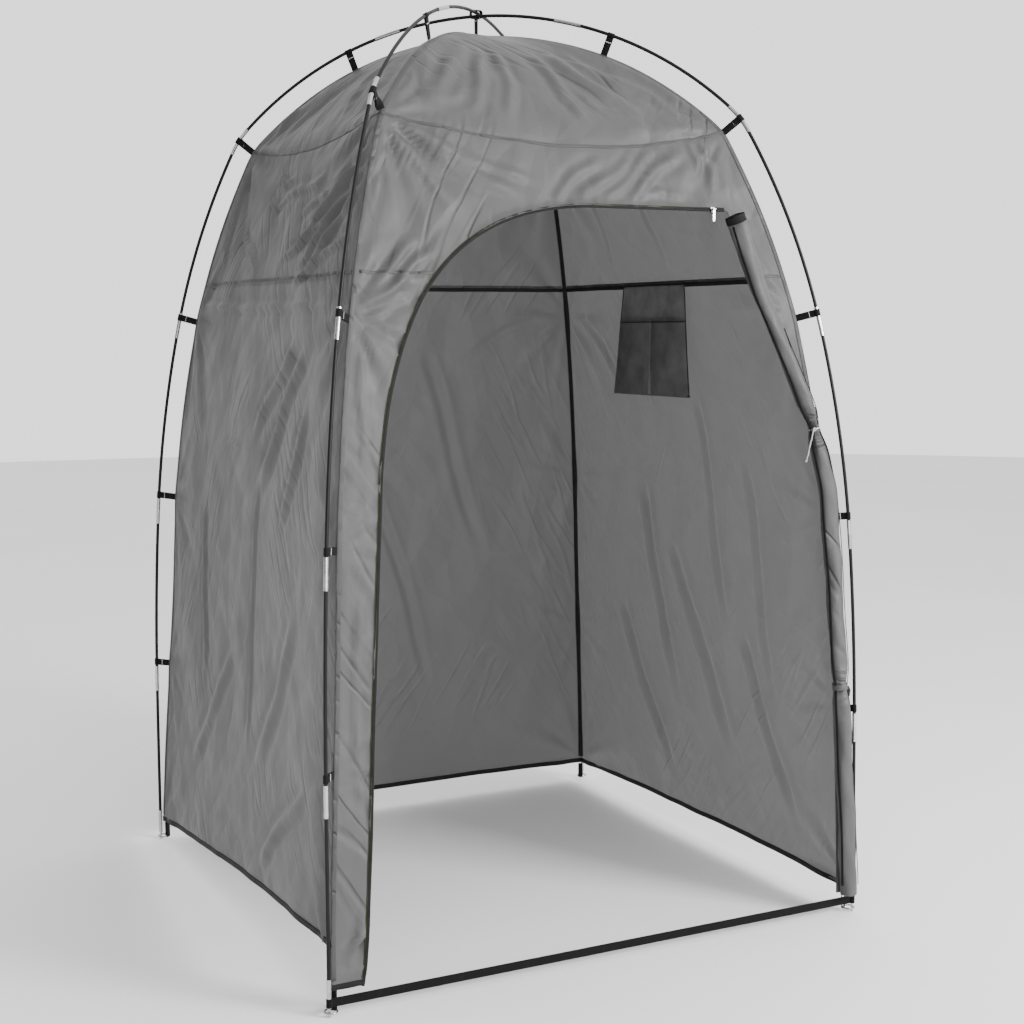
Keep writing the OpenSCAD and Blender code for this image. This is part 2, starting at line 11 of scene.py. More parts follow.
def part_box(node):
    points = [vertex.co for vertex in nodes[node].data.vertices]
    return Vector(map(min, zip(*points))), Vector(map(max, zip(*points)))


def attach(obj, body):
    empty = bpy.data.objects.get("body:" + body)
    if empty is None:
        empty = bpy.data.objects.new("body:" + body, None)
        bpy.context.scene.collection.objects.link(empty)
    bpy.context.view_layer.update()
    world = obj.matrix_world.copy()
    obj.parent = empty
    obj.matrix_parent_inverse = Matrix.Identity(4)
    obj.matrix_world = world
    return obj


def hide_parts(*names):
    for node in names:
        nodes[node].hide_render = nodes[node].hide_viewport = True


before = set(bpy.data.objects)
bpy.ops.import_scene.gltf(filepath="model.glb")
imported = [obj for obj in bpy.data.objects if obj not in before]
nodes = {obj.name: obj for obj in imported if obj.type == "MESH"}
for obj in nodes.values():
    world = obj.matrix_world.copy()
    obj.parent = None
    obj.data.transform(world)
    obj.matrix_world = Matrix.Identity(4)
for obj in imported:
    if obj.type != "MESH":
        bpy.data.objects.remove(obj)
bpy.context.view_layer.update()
scene = bpy.context.scene

# ---------------------------------------------------------------- camera

CAMERA_AT = Vector((-1.723, -3.615, 1.365))
YAW, PITCH, ROLL = (math.radians(a) for a in (-26.62, 6.43, -0.30))
LENS_MM = 57.55

ahead = Vector((-math.sin(YAW) * math.cos(PITCH), math.cos(YAW) * math.cos(PITCH), -math.sin(PITCH)))
level = Vector((math.cos(YAW), math.sin(YAW), 0))
above = level.cross(ahead)
cam_x = math.cos(ROLL) * level + math.sin(ROLL) * above
cam_y = -math.sin(ROLL) * level + math.cos(ROLL) * above
camera = bpy.data.objects.new("camera", bpy.data.cameras.new("camera"))
camera.data.lens = LENS_MM
camera.data.sensor_width = 36
camera.data.clip_start = 0.02
camera.data.clip_end = 100
camera.matrix_world = Matrix((
    (cam_x.x, cam_y.x, -ahead.x, CAMERA_AT.x),
    (cam_x.y, cam_y.y, -ahead.y, CAMERA_AT.y),
    (cam_x.z, cam_y.z, -ahead.z, CAMERA_AT.z),
    (0, 0, 0, 1),
))
scene.collection.objects.link(camera)
scene.camera = camera

# ---------------------------------------------------------------- sizes, as in the part's source

MM = 0.001
FOOT_SPACING = 1.300
JOINT_HEIGHTS = (0.440, 0.890, 1.375, 1.809)
LEANS = [math.radians(a) for a in (0, 0.6, 4.2, 13.6, 28.8, 47)]
ELBOW_BEND = 0.200
FOOT_RADIUS = FOOT_SPACING / math.sqrt(2)
POLE_R = 3.95 * MM
FERRULE_R = 4.8 * MM
STRAP_GAP, HEM_GAP, GAP_HEIGHT = 0.048, 0.008, 0.750
STRAP_W = 0.016
HEM, WAIST, DOOR_TOP = 0.050, 1.478, 1.622
ZIP_W = 0.011
EAVE_LEAN = (LEANS[4] + LEANS[5]) / 2
STRAP_HEIGHTS = (0.485, 0.933, 1.395)
EAVE = 1.806
ROOF_STRAP = math.radians(68.4)
LIFT = 0.010
FRONT, RIGHT, BACK, LEFT = range(4)
OUT = np.array([(0, -1, 0), (1, 0, 0), (0, 1, 0), (-1, 0, 0)], float)
ACROSS = np.array([(1, 0, 0), (0, 1, 0), (-1, 0, 0), (0, -1, 0)], float)
CORNERS = {"front_left": -135, "front_right": -45, "back_right": 45, "back_left": 135}


def pole_arcs(lift):
    """The pole's arcs: centre (radius, height), bending radius, first and last lean."""
    arcs, r, z = [], FOOT_RADIUS, 0.0
    heights = (*JOINT_HEIGHTS[:3], JOINT_HEIGHTS[3] + lift)
    for i in range(4):
        a, b = LEANS[i], LEANS[i + 1]
        radius = (heights[i] - z) / (math.sin(b) - math.sin(a))
        arcs.append((r - radius * math.cos(a), z - radius * math.sin(a), radius, a, b))
        r -= radius * (math.cos(a) - math.cos(b))
        z = heights[i]
    a, b = LEANS[4], LEANS[5]
    arcs.append((r - ELBOW_BEND * math.cos(a), z - ELBOW_BEND * math.sin(a), ELBOW_BEND, a, b))
    r -= ELBOW_BEND * (math.cos(a) - math.cos(b))
    z += ELBOW_BEND * (math.sin(b) - math.sin(a))
    radius = r / math.cos(b)
    arcs.append((0.0, z - radius * math.sin(b), radius, b, math.pi / 2))
    return arcs


# the pole from the front left to the back right crosses over the other one
ARCS = (pole_arcs(0), pole_arcs(LIFT))


def pole_point(arc, a, inside=0.0):
    cr, cz, radius = arc[:3]
    return cr + (radius - inside) * math.cos(a), cz + (radius - inside) * math.sin(a)


def smooth(t):
    t = np.clip(t, 0, 1)
    return t * t * (3 - 2 * t)


def gap_at(z):
    return HEM_GAP + (STRAP_GAP - HEM_GAP) * smooth(z / GAP_HEIGHT)


def fabric_profile():
    """Rows of (half width, height, lean) of the fabric's corner line, from the ground up."""
    rows = []
    for arc in ARCS[0]:
        for a in np.linspace(arc[3], arc[4], 60):
            r, z = pole_point(arc, a, float(gap_at(pole_point(arc, a)[1])))
            rows.append((r / math.sqrt(2), z))
    rows = np.array(rows)
    keep = np.r_[True, np.linalg.norm(np.diff(rows, axis=0), axis=1) > 1e-6]
    return rows[keep]


PROFILE = fabric_profile()
PROFILE_T = np.r_[0, np.cumsum(np.linalg.norm(np.diff(PROFILE, axis=0), axis=1))]


def half_width(z):
    return np.interp(z, PROFILE[:, 1], PROFILE[:, 0])


def t_of(z):
    return np.interp(z, PROFILE[:, 1], PROFILE_T)


# ---------------------------------------------------------------- mesh helpers


def make(name, verts, faces, mats, body, uvs, face_mats=None):
    """A piece from plain lists, with smooth shading, riding on a body."""
    mesh = bpy.data.meshes.new(name)
    mesh.from_pydata([tuple(map(float, v)) for v in verts], [], [tuple(map(int, f)) for f in faces])
    for m in mats if isinstance(mats, (list, tuple)) else [mats]:
        mesh.materials.append(m)
    if face_mats is not None:
        mesh.polygons.foreach_set("material_index", np.asarray(face_mats, np.int32))
    layer = mesh.uv_layers.new(name="UVMap")
    loops = np.zeros(len(mesh.loops), np.int32)
    mesh.loops.foreach_get("vertex_index", loops)
    layer.data.foreach_set("uv", np.asarray(uvs, np.float32)[loops].ravel())
    mesh.polygons.foreach_set("use_smooth", np.ones(len(mesh.polygons), bool))
    mesh.update()
    obj = bpy.data.objects.new(name, mesh)
    scene.collection.objects.link(obj)
    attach(obj, body)
    return obj


def unit(v):
    v = np.asarray(v, float)
    n = np.linalg.norm(v, axis=-1, keepdims=True)
    return v / np.maximum(n, 1e-12)


def heading(points):
    """The unit direction of a line at each of its points."""
    return unit(np.gradient(points, axis=0))


def lengths_along(points):
    return np.r_[0, np.cumsum(np.linalg.norm(np.diff(points, axis=0), axis=1))]


def even_out(points, span, columns=3):
    """Takes a running mean over span points, in place, apart from those at the ends."""
    pad = span // 2
    for k in range(columns):
        points[pad:-pad, k] = np.convolve(points[:, k], np.ones(span) / span, "valid")


class Parts:
    """Gathers several solids into one mesh."""

    def __init__(self):
        self.verts, self.faces, self.uvs, self.mats = [], [], [], []

    def sweep(self, points, across, normal, outline, mat=0, closed=False, scale=None):
        """Sweeps a closed outline of (across, normal) offsets along points."""
        points = np.asarray(points, float)
        across, normal = unit(across), unit(normal)
        n, m = len(points), len(outline)
        o = np.asarray(outline, float)
        k = np.ones(n) if scale is None else np.asarray(scale, float)
        rings = (points[:, None] + across[:, None] * (o[None, :, :1] * k[:, None, None])
                 + normal[:, None] * (o[None, :, 1:] * k[:, None, None]))
        uv = np.stack(np.broadcast_arrays(lengths_along(points)[:, None], lengths_along(o)[None]), -1)
        faces = []
        for i in range(n if closed else n - 1):
            j = (i + 1) % n
            for a in range(m):
                b = (a + 1) % m
                faces.append([i * m + a, i * m + b, j * m + b, j * m + a])
        if not closed:
            faces.append(list(range(m))[::-1])
            faces.append([(n - 1) * m + a for a in range(m)])
        base = len(self.verts)
        self.verts.extend(rings.reshape(-1, 3).tolist())
        self.faces.extend([[base + i for i in f] for f in faces])
        self.uvs.extend(uv.reshape(-1, 2).tolist())
        self.mats.extend([mat] * len(faces))

    def band(self, points, across, normal, width, thick, mat=0, closed=False):
        """A flat strip with softened edges and a shallow rib along each edge."""
        w, t = width / 2, thick / 2
        outline = [(-w, -t * 0.5), (-w + t, -t), (0, -t * 0.8), (w - t, -t), (w, -t * 0.5),
                   (w, t * 0.5), (w - t, t), (0, t * 0.8), (-w + t, t), (-w, t * 0.5)]
        self.sweep(points, across, normal, outline, mat, closed)

    def rod(self, points, radius, sides=8, mat=0):
        points = np.asarray(points, float)
        d = heading(points)
        ref = np.where(np.abs(d[:, 2:]) < 0.9, np.array([[0, 0, 1.0]]), np.array([[1.0, 0, 0]]))
        a = unit(np.cross(d, ref))
        b = np.cross(d, a)
        # carries the first frame along, so that the rod doesn't twist
        for i in range(1, len(points)):
            v = a[i - 1] - d[i] * np.dot(a[i - 1], d[i])
            a[i] = unit(v)
            b[i] = np.cross(d[i], a[i])
        ring = [(radius * math.cos(q), radius * math.sin(q)) for q in np.arange(sides) * 2 * math.pi / sides]
        self.sweep(points, a, b, ring, mat)

    def block(self, centre, x, y, z, size, mat=0, soft=0.25):
        """A box with cut corners, on its own axes."""
        x, y, z = unit(x), unit(y), unit(z)
        sx, sy, sz = np.asarray(size) / 2
        c = min(sx, sy) * soft
        outline = [(-sx, -sy + c), (-sx + c, -sy), (sx - c, -sy), (sx, -sy + c),
                   (sx, sy - c), (sx - c, sy), (-sx + c, sy), (-sx, sy - c)]
        e = min(c, sz * 0.6)
        pts, sc = [-sz, -sz + e, sz - e, sz], [1 - c / max(sx, sy), 1, 1, 1 - c / max(sx, sy)]
        points = np.asarray(centre) + np.outer(pts, z)
        self.sweep(points, np.tile(x, (4, 1)), np.tile(y, (4, 1)), outline, mat, scale=sc)

    def build(self, name, mats, body):
        return make(name, self.verts, self.faces, mats, body, self.uvs, self.mats)


# ---------------------------------------------------------------- materials


class Look:
    """A procedural material. Coordinates are metres."""

    def __init__(self, name, **shader):
        self.mat = bpy.data.materials.new(name)
        self.mat.use_nodes = True
        self.t = self.mat.node_tree
        self.bsdf = self.t.nodes["Principled BSDF"]
        for key, value in shader.items():
            self.bsdf.inputs[key.replace("_", " ")].default_value = value
        self.coords = self.t.nodes.new("ShaderNodeTexCoord")
        self.height = None

    def node(self, kind, **props):
        n = self.t.nodes.new("ShaderNode" + kind)
        for key, value in props.items():
            setattr(n, key, value)
        return n

    def put(self, socket, value):
        if isinstance(value, bpy.types.NodeSocket):
            self.t.links.new(value, socket)
        else:
            socket.default_value = value

    def stretched(self, scale):
        m = self.node("Mapping")
        self.put(m.inputs["Vector"], self.coords.outputs["Object"])
        m.inputs["Scale"].default_value = scale
        return m.outputs[0]

    def lying(self, push, turn, scale):
        """UV coordinates in metres, pushed about by a broad noise, then turned and scaled."""
        n = self.node("TexNoise")
        n.inputs["Scale"].default_value = 0.12 / push
        self.put(n.inputs["Vector"], self.coords.outputs["UV"])
        off = self.node("VectorMath", operation="SUBTRACT")
        self.put(off.inputs[0], n.outputs["Color"])
        off.inputs[1].default_value = (0.5, 0.5, 0.5)
        by = self.node("VectorMath", operation="SCALE")
        self.put(by.inputs[0], off.outputs[0])
        by.inputs["Scale"].default_value = push
        to = self.node("VectorMath", operation="ADD")
        self.put(to.inputs[0], self.coords.outputs["UV"])
        self.put(to.inputs[1], by.outputs[0])
        m = self.node("Mapping", vector_type="TEXTURE")
        self.put(m.inputs["Vector"], to.outputs[0])
        m.inputs["Rotation"].default_value = (0, 0, math.radians(turn))
        m.inputs["Scale"].default_value = (1 / scale[0], 1 / scale[1], 1)
        return m.outputs[0]

    def noise(self, scale, detail=3, rough=0.5, vector=None):
        n = self.node("TexNoise")
        n.inputs["Scale"].default_value = scale
        n.inputs["Detail"].default_value = detail
        n.inputs["Roughness"].default_value = rough
        self.put(n.inputs["Vector"], vector if vector else self.coords.outputs["Object"])
        return n.outputs["Fac"]

    def cells(self, vector):
        """The distance to the nearest edge of a crazed pattern: ridges when it is used as a bump."""
        n = self.node("TexVoronoi", feature="DISTANCE_TO_EDGE", voronoi_dimensions="2D")
        n.inputs["Scale"].default_value = 1
        self.put(n.inputs["Vector"], vector)
        return n.outputs["Distance"]

    def wave(self, scale, direction, space="UV", vector=None):
        n = self.node("TexWave", bands_direction=direction)
        n.inputs["Scale"].default_value = scale
        self.put(n.inputs["Vector"], vector if vector else self.coords.outputs[space])
        return n.outputs["Fac"]

    def math(self, op, a, b=0.0):
        n = self.node("Math", operation=op)
        self.put(n.inputs[0], a)
        self.put(n.inputs[1], b)
        return n.outputs[0]

    def span(self, value, a, b, low=0.0, high=1.0):
        n = self.node("MapRange", interpolation_type="SMOOTHSTEP")
        self.put(n.inputs["Value"], value)
        for key, v in (("From Min", a), ("From Max", b), ("To Min", low), ("To Max", high)):
            n.inputs[key].default_value = v
        return n.outputs[0]

    def colours(self, value, *stops):
        n = self.node("ValToRGB")
        ramp = n.color_ramp
        while len(ramp.elements) < len(stops):
            ramp.elements.new(0.5)
        for e, (at, c) in zip(ramp.elements, stops):
            e.position, e.color = at, (*c, 1)
        self.put(n.inputs[0], value)
        return n.outputs[0]

    def mixed(self, factor, a, b):
        n = self.node("Mix", data_type="RGBA")
        self.put(n.inputs[0], factor)
        for socket, value in ((n.inputs[6], a), (n.inputs[7], b)):
            self.put(socket, value if isinstance(value, bpy.types.NodeSocket) else (*value, 1))
        return n.outputs[2]

    def bump(self, height, distance, strength=1.0):
        n = self.node("Bump")
        n.inputs["Strength"].default_value = strength
        n.inputs["Distance"].default_value = distance
        self.put(n.inputs["Height"], height)
        if self.height:
            self.put(n.inputs["Normal"], self.height)
        self.height = n.outputs[0]

    def thin(self, share, colour):
        """Lets a share of the light through from behind."""
        behind = self.node("BsdfTranslucent")
        behind.inputs["Color"].default_value = (*colour, 1)
        mix = self.node("MixShader")
        mix.inputs[0].default_value = share
        self.put(mix.inputs[1], self.bsdf.outputs[0])
        self.put(mix.inputs[2], behind.outputs[0])
        out = self.t.nodes["Material Output"].inputs["Surface"]
        self.t.links.new(mix.outputs[0], out)

    def done(self, colour=None, rough=None, alpha=None):
        for key, value in (("Base Color", colour), ("Roughness", rough), ("Alpha", alpha),
                           ("Normal", self.height)):
            if value is not None:
                self.put(self.bsdf.inputs[key], value)
        return self.mat


def grey(v, warm=0.0):
    return (v * (1 + warm), v, v * (1 - warm))


def fabric_look(name, tone=0.093, through=0.27):
    """Coated polyester: fine plain weave, crumples and storage creases with a painted highlight along their
    crease lines, a little light through it.
    """
    m = Look(name, Specular_IOR_Level=0.30, Sheen_Weight=0.06, Sheen_Roughness=0.4)
    broad = m.cells(m.lying(0.060, 14, (4.6, 2.6)))
    middle = m.cells(m.lying(0.030, -37, (11, 6)))
    small = m.cells(m.lying(0.014, 24, (26, 18)))
    m.bump(broad, 0.0170, 1.0)
    m.bump(middle, 0.0062, 1.0)
    m.bump(m.math("MULTIPLY", small, m.span(m.noise(3.1, 2), 0.50, 0.66)), 0.0022, 1.0)
    # sets of narrow parallel folds lying two ways, each only here and there
    patches = m.noise(2.6, 2)
    for turn, low, high in ((34, 0.54, 0.66), (-28, 0.46, 0.34)):
        bands = m.noise(1, 1, 0.5, m.lying(0.020, turn, (17, 2.2)))
        folds = m.math("ABSOLUTE", m.math("SUBTRACT", bands, 0.5))
        where = m.span(patches, low, high)
        m.bump(m.math("MULTIPLY", m.span(folds, 0.0, 0.07), where), 0.0030, 1.0)
    weave = m.math("MULTIPLY", m.wave(420, "X"), m.wave(420, "Y"))
    m.bump(weave, 0.00008, 0.5)
    shade = m.noise(3.0, 3, 0.6)
    colour = m.colours(shade, (0.25, grey(tone * 0.90)), (0.75, grey(tone * 1.08)))
    # painted highlight: the colour is lightened here and there along the crease lines of the broad crumples
    crease_highlight = m.math("MULTIPLY", m.span(broad, 0.022, 0.0), m.span(m.noise(6, 2), 0.45, 0.6))
    colour = m.mixed(m.math("MULTIPLY", crease_highlight, 0.13), colour, grey(tone * 1.6))
    colour = m.mixed(m.math("MULTIPLY", weave, 0.18), colour, grey(tone * 0.72))
    if through:
        m.thin(through, grey(tone * 2.0))
    return m.done(colour, m.span(m.noise(14, 3), 0.3, 0.7, 0.44, 0.58))


def webbing_look(name, tone=0.005):
    """Woven strap: ribs across it, a finer herringbone, and worn edges."""
    m = Look(name, Specular_IOR_Level=0.12, Sheen_Weight=0.02, Sheen_Roughness=0.45)
    ribs = m.wave(150, "X")
    twill = m.wave(260, "DIAGONAL")
    m.bump(ribs, 0.00025, 0.7)
    m.bump(twill, 0.00012, 0.6)
    fuzz = m.noise(900, 2)
    m.bump(fuzz, 0.00008, 0.4)
    colour = m.colours(m.math("MULTIPLY", ribs, twill), (0.0, grey(tone * 0.6)), (0.8, grey(tone * 1.7)))
    colour = m.mixed(m.span(m.noise(60, 4), 0.55, 0.8, 0, 0.3), colour, grey(tone * 3))
    return m.done(colour, m.span(fuzz, 0.3, 0.7, 0.6, 0.8))


def metal_look(name, tone, streak=(600, 600, 18)):
    m = Look(name, Metallic=1.0, Anisotropic=0.4)
    brushed = m.noise(1, 3, 0.6, m.stretched(streak))
    worn = m.noise(70, 4, 0.6)
    m.bump(brushed, 0.00006, 0.5)
    m.bump(m.noise(160, 3), 0.00012, 0.3)
    colour = m.colours(worn, (0.35, grey(tone * 0.82)), (0.65, grey(tone)))
    rough = m.math("ADD", m.span(brushed, 0.3, 0.7, 0.16, 0.30), m.span(worn, 0.5, 0.8, 0.0, 0.14))
    return m.done(colour, rough)


def fibreglass_look():
    """Pultruded rod: long fibres under a resin skin, scuffed here and there."""
    m = Look("fibreglass", Specular_IOR_Level=0.16)
    fibres = m.noise(1, 4, 0.65, m.stretched((700, 700, 9)))
    scuff = m.noise(55, 5, 0.65)
    m.bump(fibres, 0.00010, 0.45)
    m.bump(m.span(scuff, 0.55, 0.75), 0.00010, 0.35)
    colour = m.colours(fibres, (0.3, grey(0.004)), (0.7, grey(0.011)))
    colour = m.mixed(m.span(scuff, 0.6, 0.82, 0, 0.25), colour, grey(0.04))
    return m.done(colour, m.span(scuff, 0.4, 0.75, 0.34, 0.55))


def cord_look(name, tone):
    """Braided cord: two crossing sets of strands."""
    m = Look(name, Sheen_Weight=0.2, Specular_IOR_Level=0.35)
    one = m.wave(330, "DIAGONAL", "Object")
    two = m.wave(330, "DIAGONAL", vector=m.stretched((-1, 1, 1)))
    braid = m.math("MAXIMUM", one, two)
    m.bump(braid, 0.00035, 0.7)
    colour = m.colours(braid, (0.1, grey(tone * 0.6, 0.03)), (0.8, grey(tone, 0.02)))
    return m.done(colour, m.span(m.noise(300, 2), 0.3, 0.7, 0.55, 0.75))


def tape_look(name, low, high):
    """Flat zip or binding tape: close twill with a stitched look."""
    m = Look(name, Sheen_Weight=0.02, Specular_IOR_Level=0.15)
    twill = m.wave(300, "DIAGONAL")
    m.bump(twill, 0.00015, 0.6)
    m.bump(m.noise(220, 3), 0.00020, 0.35)
    stitch = m.math("MULTIPLY", m.span(m.wave(55, "X"), 0.35, 0.6), m.span(m.wave(110, "Y"), 0.75, 0.95))
    colour = m.colours(m.noise(40, 3), (0.3, low), (0.7, high))
    colour = m.mixed(m.math("MULTIPLY", stitch, 0.35), colour, tuple(3 * c for c in high))
    return m.done(colour, m.span(twill, 0.2, 0.8, 0.6, 0.78))


def mesh_look(name, tone, open_share=0.35):
    """Knitted mesh: a lattice of round holes, seen through here and there."""
    m = Look(name, Sheen_Weight=0.05, Specular_IOR_Level=0.15)
    u, v = m.wave(200, "X"), m.wave(200, "Y")
    lattice = m.math("MULTIPLY", u, v)
    m.bump(lattice, 0.0004, 0.6)
    colour = m.colours(m.noise(22, 3), (0.3, grey(tone * 0.8)), (0.7, grey(tone * 1.25)))
    alpha = m.span(lattice, 0.35, 0.60, 1.0, 1.0 - open_share)
    return m.done(colour, m.span(m.noise(200, 2), 0.3, 0.7, 0.6, 0.8), alpha)


FABRIC = fabric_look("tent_fabric")
SEAM = fabric_look("tent_fabric_seam", 0.068)
# the rolled door and its lower tie: the same fabric with no light through it, and a darker tone that is
# painted shade
DOOR_FABRIC = fabric_look("tent_fabric_door", 0.062, 0.0)
WEBBING = webbing_look("webbing")
STITCH = cord_look("white_stitching", 0.62)
FIBREGLASS = fibreglass_look()
STEEL = metal_look("steel_tube", 0.55)
WIRE = metal_look("steel_wire", 0.36, (300, 300, 300))
ZIP_METAL = metal_look("zip_metal", 0.52, (900, 900, 900))
BINDING = tape_look("binding", grey(0.006), grey(0.011))
ZIP_TAPE = tape_look("zip_tape", grey(0.004), grey(0.008))
ZIP_EDGE = tape_look("zip_edge", (0.020, 0.020, 0.007), (0.042, 0.042, 0.016))
COIL = cord_look("zip_coil", 0.006)
ELASTIC = cord_look("elastic", 0.55)
TIE = cord_look("tie_cord", 0.42)
NET = mesh_look("mesh", 0.135, 0.32)
NET_DARK = mesh_look("mesh_dark", 0.095, 0.19)
NET_EDGE = tape_look("mesh_divider", grey(0.13), grey(0.17))

for name, node in nodes.items():
    if "shock_cord" in name:
        look = ELASTIC
    elif "section" in name:
        look = FIBREGLASS
    elif "ferrules" in name or "elbows" in name or name == "pole_tips":
        look = STEEL
    elif name == "foot_rings":
        look = WIRE
    elif name in ("zip_slider", "zip_pull"):
        look = ZIP_METAL
    else:
        look = WEBBING
    node.data.materials.clear()
    node.data.materials.append(look)
    for p in node.data.polygons:
        p.material_index = 0

# ---------------------------------------------------------------- doorway lines on the front wall


def bezier(p, u):
    p = np.asarray(p, float)
    u = np.asarray(u, float)[:, None]
    return p[0] * (1 - u) ** 3 + p[1] * 3 * u * (1 - u) ** 2 + p[2] * 3 * u * u * (1 - u) + p[3] * u ** 3


def resample(line, step):
    line = np.asarray(line, float)
    along = lengths_along(line)
    at = np.linspace(0, along[-1], max(2, int(round(along[-1] / step)) + 1))
    return np.stack([np.interp(at, along, line[:, k]) for k in range(line.shape[1])], 1)


ZIP_CORE = np.concatenate([
    np.linspace((-0.565, HEM), (-0.500, 1.000), 60)[:-1],
    bezier([(-0.500, 1.000), (-0.470, 1.420), (-0.300, DOOR_TOP), (0.060, DOOR_TOP)], np.linspace(0, 1, 80)),
    np.linspace((0.060, DOOR_TOP), (0.384, DOOR_TOP), 24)[1:],
])


def zip_line(side, step=0.008):
    """The zip's line on the front wall as (x, z), moved sideways into the fabric."""
    d = heading(ZIP_CORE)
    moved = ZIP_CORE + side * np.stack([-d[:, 1], d[:, 0]], 1)
    # the edge curls inwards at the hem
    curl = np.exp(-np.maximum(ZIP_CORE[:, 1] - HEM, 0) / 0.05)
    moved[:, 0] -= 0.008 * curl * (ZIP_CORE[:, 0] < -0.4)
    return resample(moved, step)


SEWN = bezier([(0.392, DOOR_TOP), (0.420, 1.440), (0.505, 1.300), (0.600, 1.090)], np.linspace(0, 1, 60))


def sewn_x(z):
    """Where the door is sewn on, at a height: the sewn edge, and the corner below it."""
    return np.minimum(np.interp(z, SEWN[::-1, 1], SEWN[::-1, 0]), half_width(z))


def doorway(side):
    left = zip_line(side)
    return np.concatenate([[(left[0, 0], -0.1)], left, SEWN + (side / 2, 0), [(0.72, 1.0), (0.72, -0.1)]])


def inside(poly, x, z):
    hit = np.zeros(np.shape(x), bool)
    px, pz = poly[:, 0], poly[:, 1]
    j = len(poly) - 1
    for i in range(len(poly)):
        if pz[i] != pz[j]:
            cross = (pz[i] > z) != (pz[j] > z)
            at = (px[j] - px[i]) * (z - pz[i]) / (pz[j] - pz[i]) + px[i]
            hit ^= cross & (x < at)
        j = i
    return hit


# ---------------------------------------------------------------- the fabric's folds

# Anchors where a strap pulls on the fabric: height, how far and how strongly folds run from it
PULLS = [(EAVE, 0.30, 1.0), (1.395, 0.26, 0.9), (0.933, 0.20, 0.5), (0.485, 0.18, 0.45), (0.07, 0.20, 0.9)]

# Single folds on a wall, in mm: across and height of both ends, half width, height of the fold
FOLDS = {
    FRONT: [
        (-400, 1790, -100, 1630, 10, 7), (-380, 1775, -170, 1635, 9, 6), (-350, 1770, -60, 1660, 8, 5),
        (-420, 1770, -280, 1620, 11, 7), (-535, 1400, -330, 1530, 9, 9), (-530, 1395, -380, 1470, 8, 8),
        (-525, 1385, -400, 1430, 8, 7), (-535, 1410, -360, 1560, 10, 6), (20, 1640, 200, 1760, 10, 6),
        (80, 1645, 250, 1770, 9, 6), (140, 1645, 310, 1770, 10, 6), (-50, 1640, 100, 1750, 9, 5),
        (360, 1780, 370, 1660, 8, 5), (330, 1780, 330, 1690, 7, 4), (170, 1655, 300, 1668, 6, 4),
        (-600, 90, -575, 200, 7, 6), (-630, 100, -570, 170, 7, 6), (-130, 1990, -310, 1850, 13, 7),
        (-100, 1980, -220, 1810, 12, 6), (-60, 1990, -120, 1800, 12, 5), (20, 1990, 80, 1810, 14, 6),
        (70, 1990, 220, 1830, 14, 7), (120, 1980, 340, 1850, 13, 6), (-330, 1860, -150, 1860, 10, 4),
        (-380, 1830, -300, 1930, 10, 6), (-455, 1770, -545, 1430, 7, 6), (-435, 1760, -505, 1500, 6, 4),
        (-565, 1340, -600, 960, 8, 6), (-590, 900, -610, 520, 8, 5), (-520, 1330, -545, 1050, 6, 4),
        (-555, 850, -575, 350, 7, 4), (510, 1620, 560, 1400, 7, 5), (455, 1760, 505, 1600, 7, 5),
    ],
    LEFT: [
        (440, 1740, 100, 1530, 10, 8), (450, 1700, 160, 1500, 9, 7), (400, 1700, 50, 1610, 8, 5),
        (460, 1660, 220, 1490, 10, 8), (300, 1600, 20, 1520, 8, 6), (200, 1700, -120, 1660, 8, 5),
        (-150, 1720, -20, 1700, 7, 6), (-160, 1660, -40, 1650, 7, 6), (460, 1560, 120, 1460, 9, 6),
        (-300, 1600, -100, 1490, 9, 6), (-520, 1428, 500, 1402, 8, 6), (300, 1320, 40, 980, 16, 10),
        (220, 1340, -20, 1100, 14, 8), (360, 1200, 220, 900, 14, 7), (50, 1020, 30, 350, 8, 5),
        (-220, 1080, -40, 1110, 6, 4), (-340, 950, -320, 450, 10, 5), (350, 750, 100, 350, 18, 7),
        (-100, 600, -400, 250, 16, 6), (450, 400, 150, 160, 14, 8), (130, 1980, 320, 1840, 13, 6),
        (40, 1990, 140, 1820, 13, 6), (-100, 1980, -260, 1830, 14, 6), (-300, 1900, -370, 1820, 10, 5),
        (465, 1760, 535, 1440, 7, 7), (440, 1750, 500, 1520, 6, 5), (565, 1340, 600, 960, 8, 5),
        (-565, 1300, -605, 600, 8, 5), (-400, 1780, -390, 1500, 10, 6),
    ],
    BACK: [
        (400, 1100, 100, 600, 16, 8), (-100, 1300, -300, 700, 14, 6), (50, 950, -150, 300, 12, 6),
        (450, 1400, 200, 1250, 10, 6), (-450, 1400, -200, 1280, 10, 6), (300, 500, 50, 150, 14, 6),
        (300, 1720, 180, 1500, 9, 6), (-50, 1740, -100, 1500, 9, 5), (120, 1980, 300, 1840, 13, 6),
        (-80, 1980, -240, 1830, 13, 6), (20, 1980, 50, 1820, 12, 5),
    ],
    RIGHT: [
        (-100, 1200, -200, 550, 10, 6), (200, 950, 50, 300, 14, 8), (50, 800, -200, 250, 16, 8),
        (-300, 1050, -380, 400, 10, 6), (450, 1400, 250, 1200, 10, 6), (350, 600, 100, 120, 14, 8),
        (-250, 600, -450, 120, 12, 8), (0, 1700, -30, 1500, 7, 4), (250, 1720, 220, 1490, 7, 4),
        (100, 1980, 280, 1840, 13, 6), (-120, 1980, -300, 1840, 13, 6), (-20, 1980, -60, 1820, 12, 5),
    ],
}
# How far the seam under the roof sags at the middle of each wall
SEAM_DROP = {FRONT: 0.044, RIGHT: 0.03, BACK: 0.034, LEFT: 0.03}


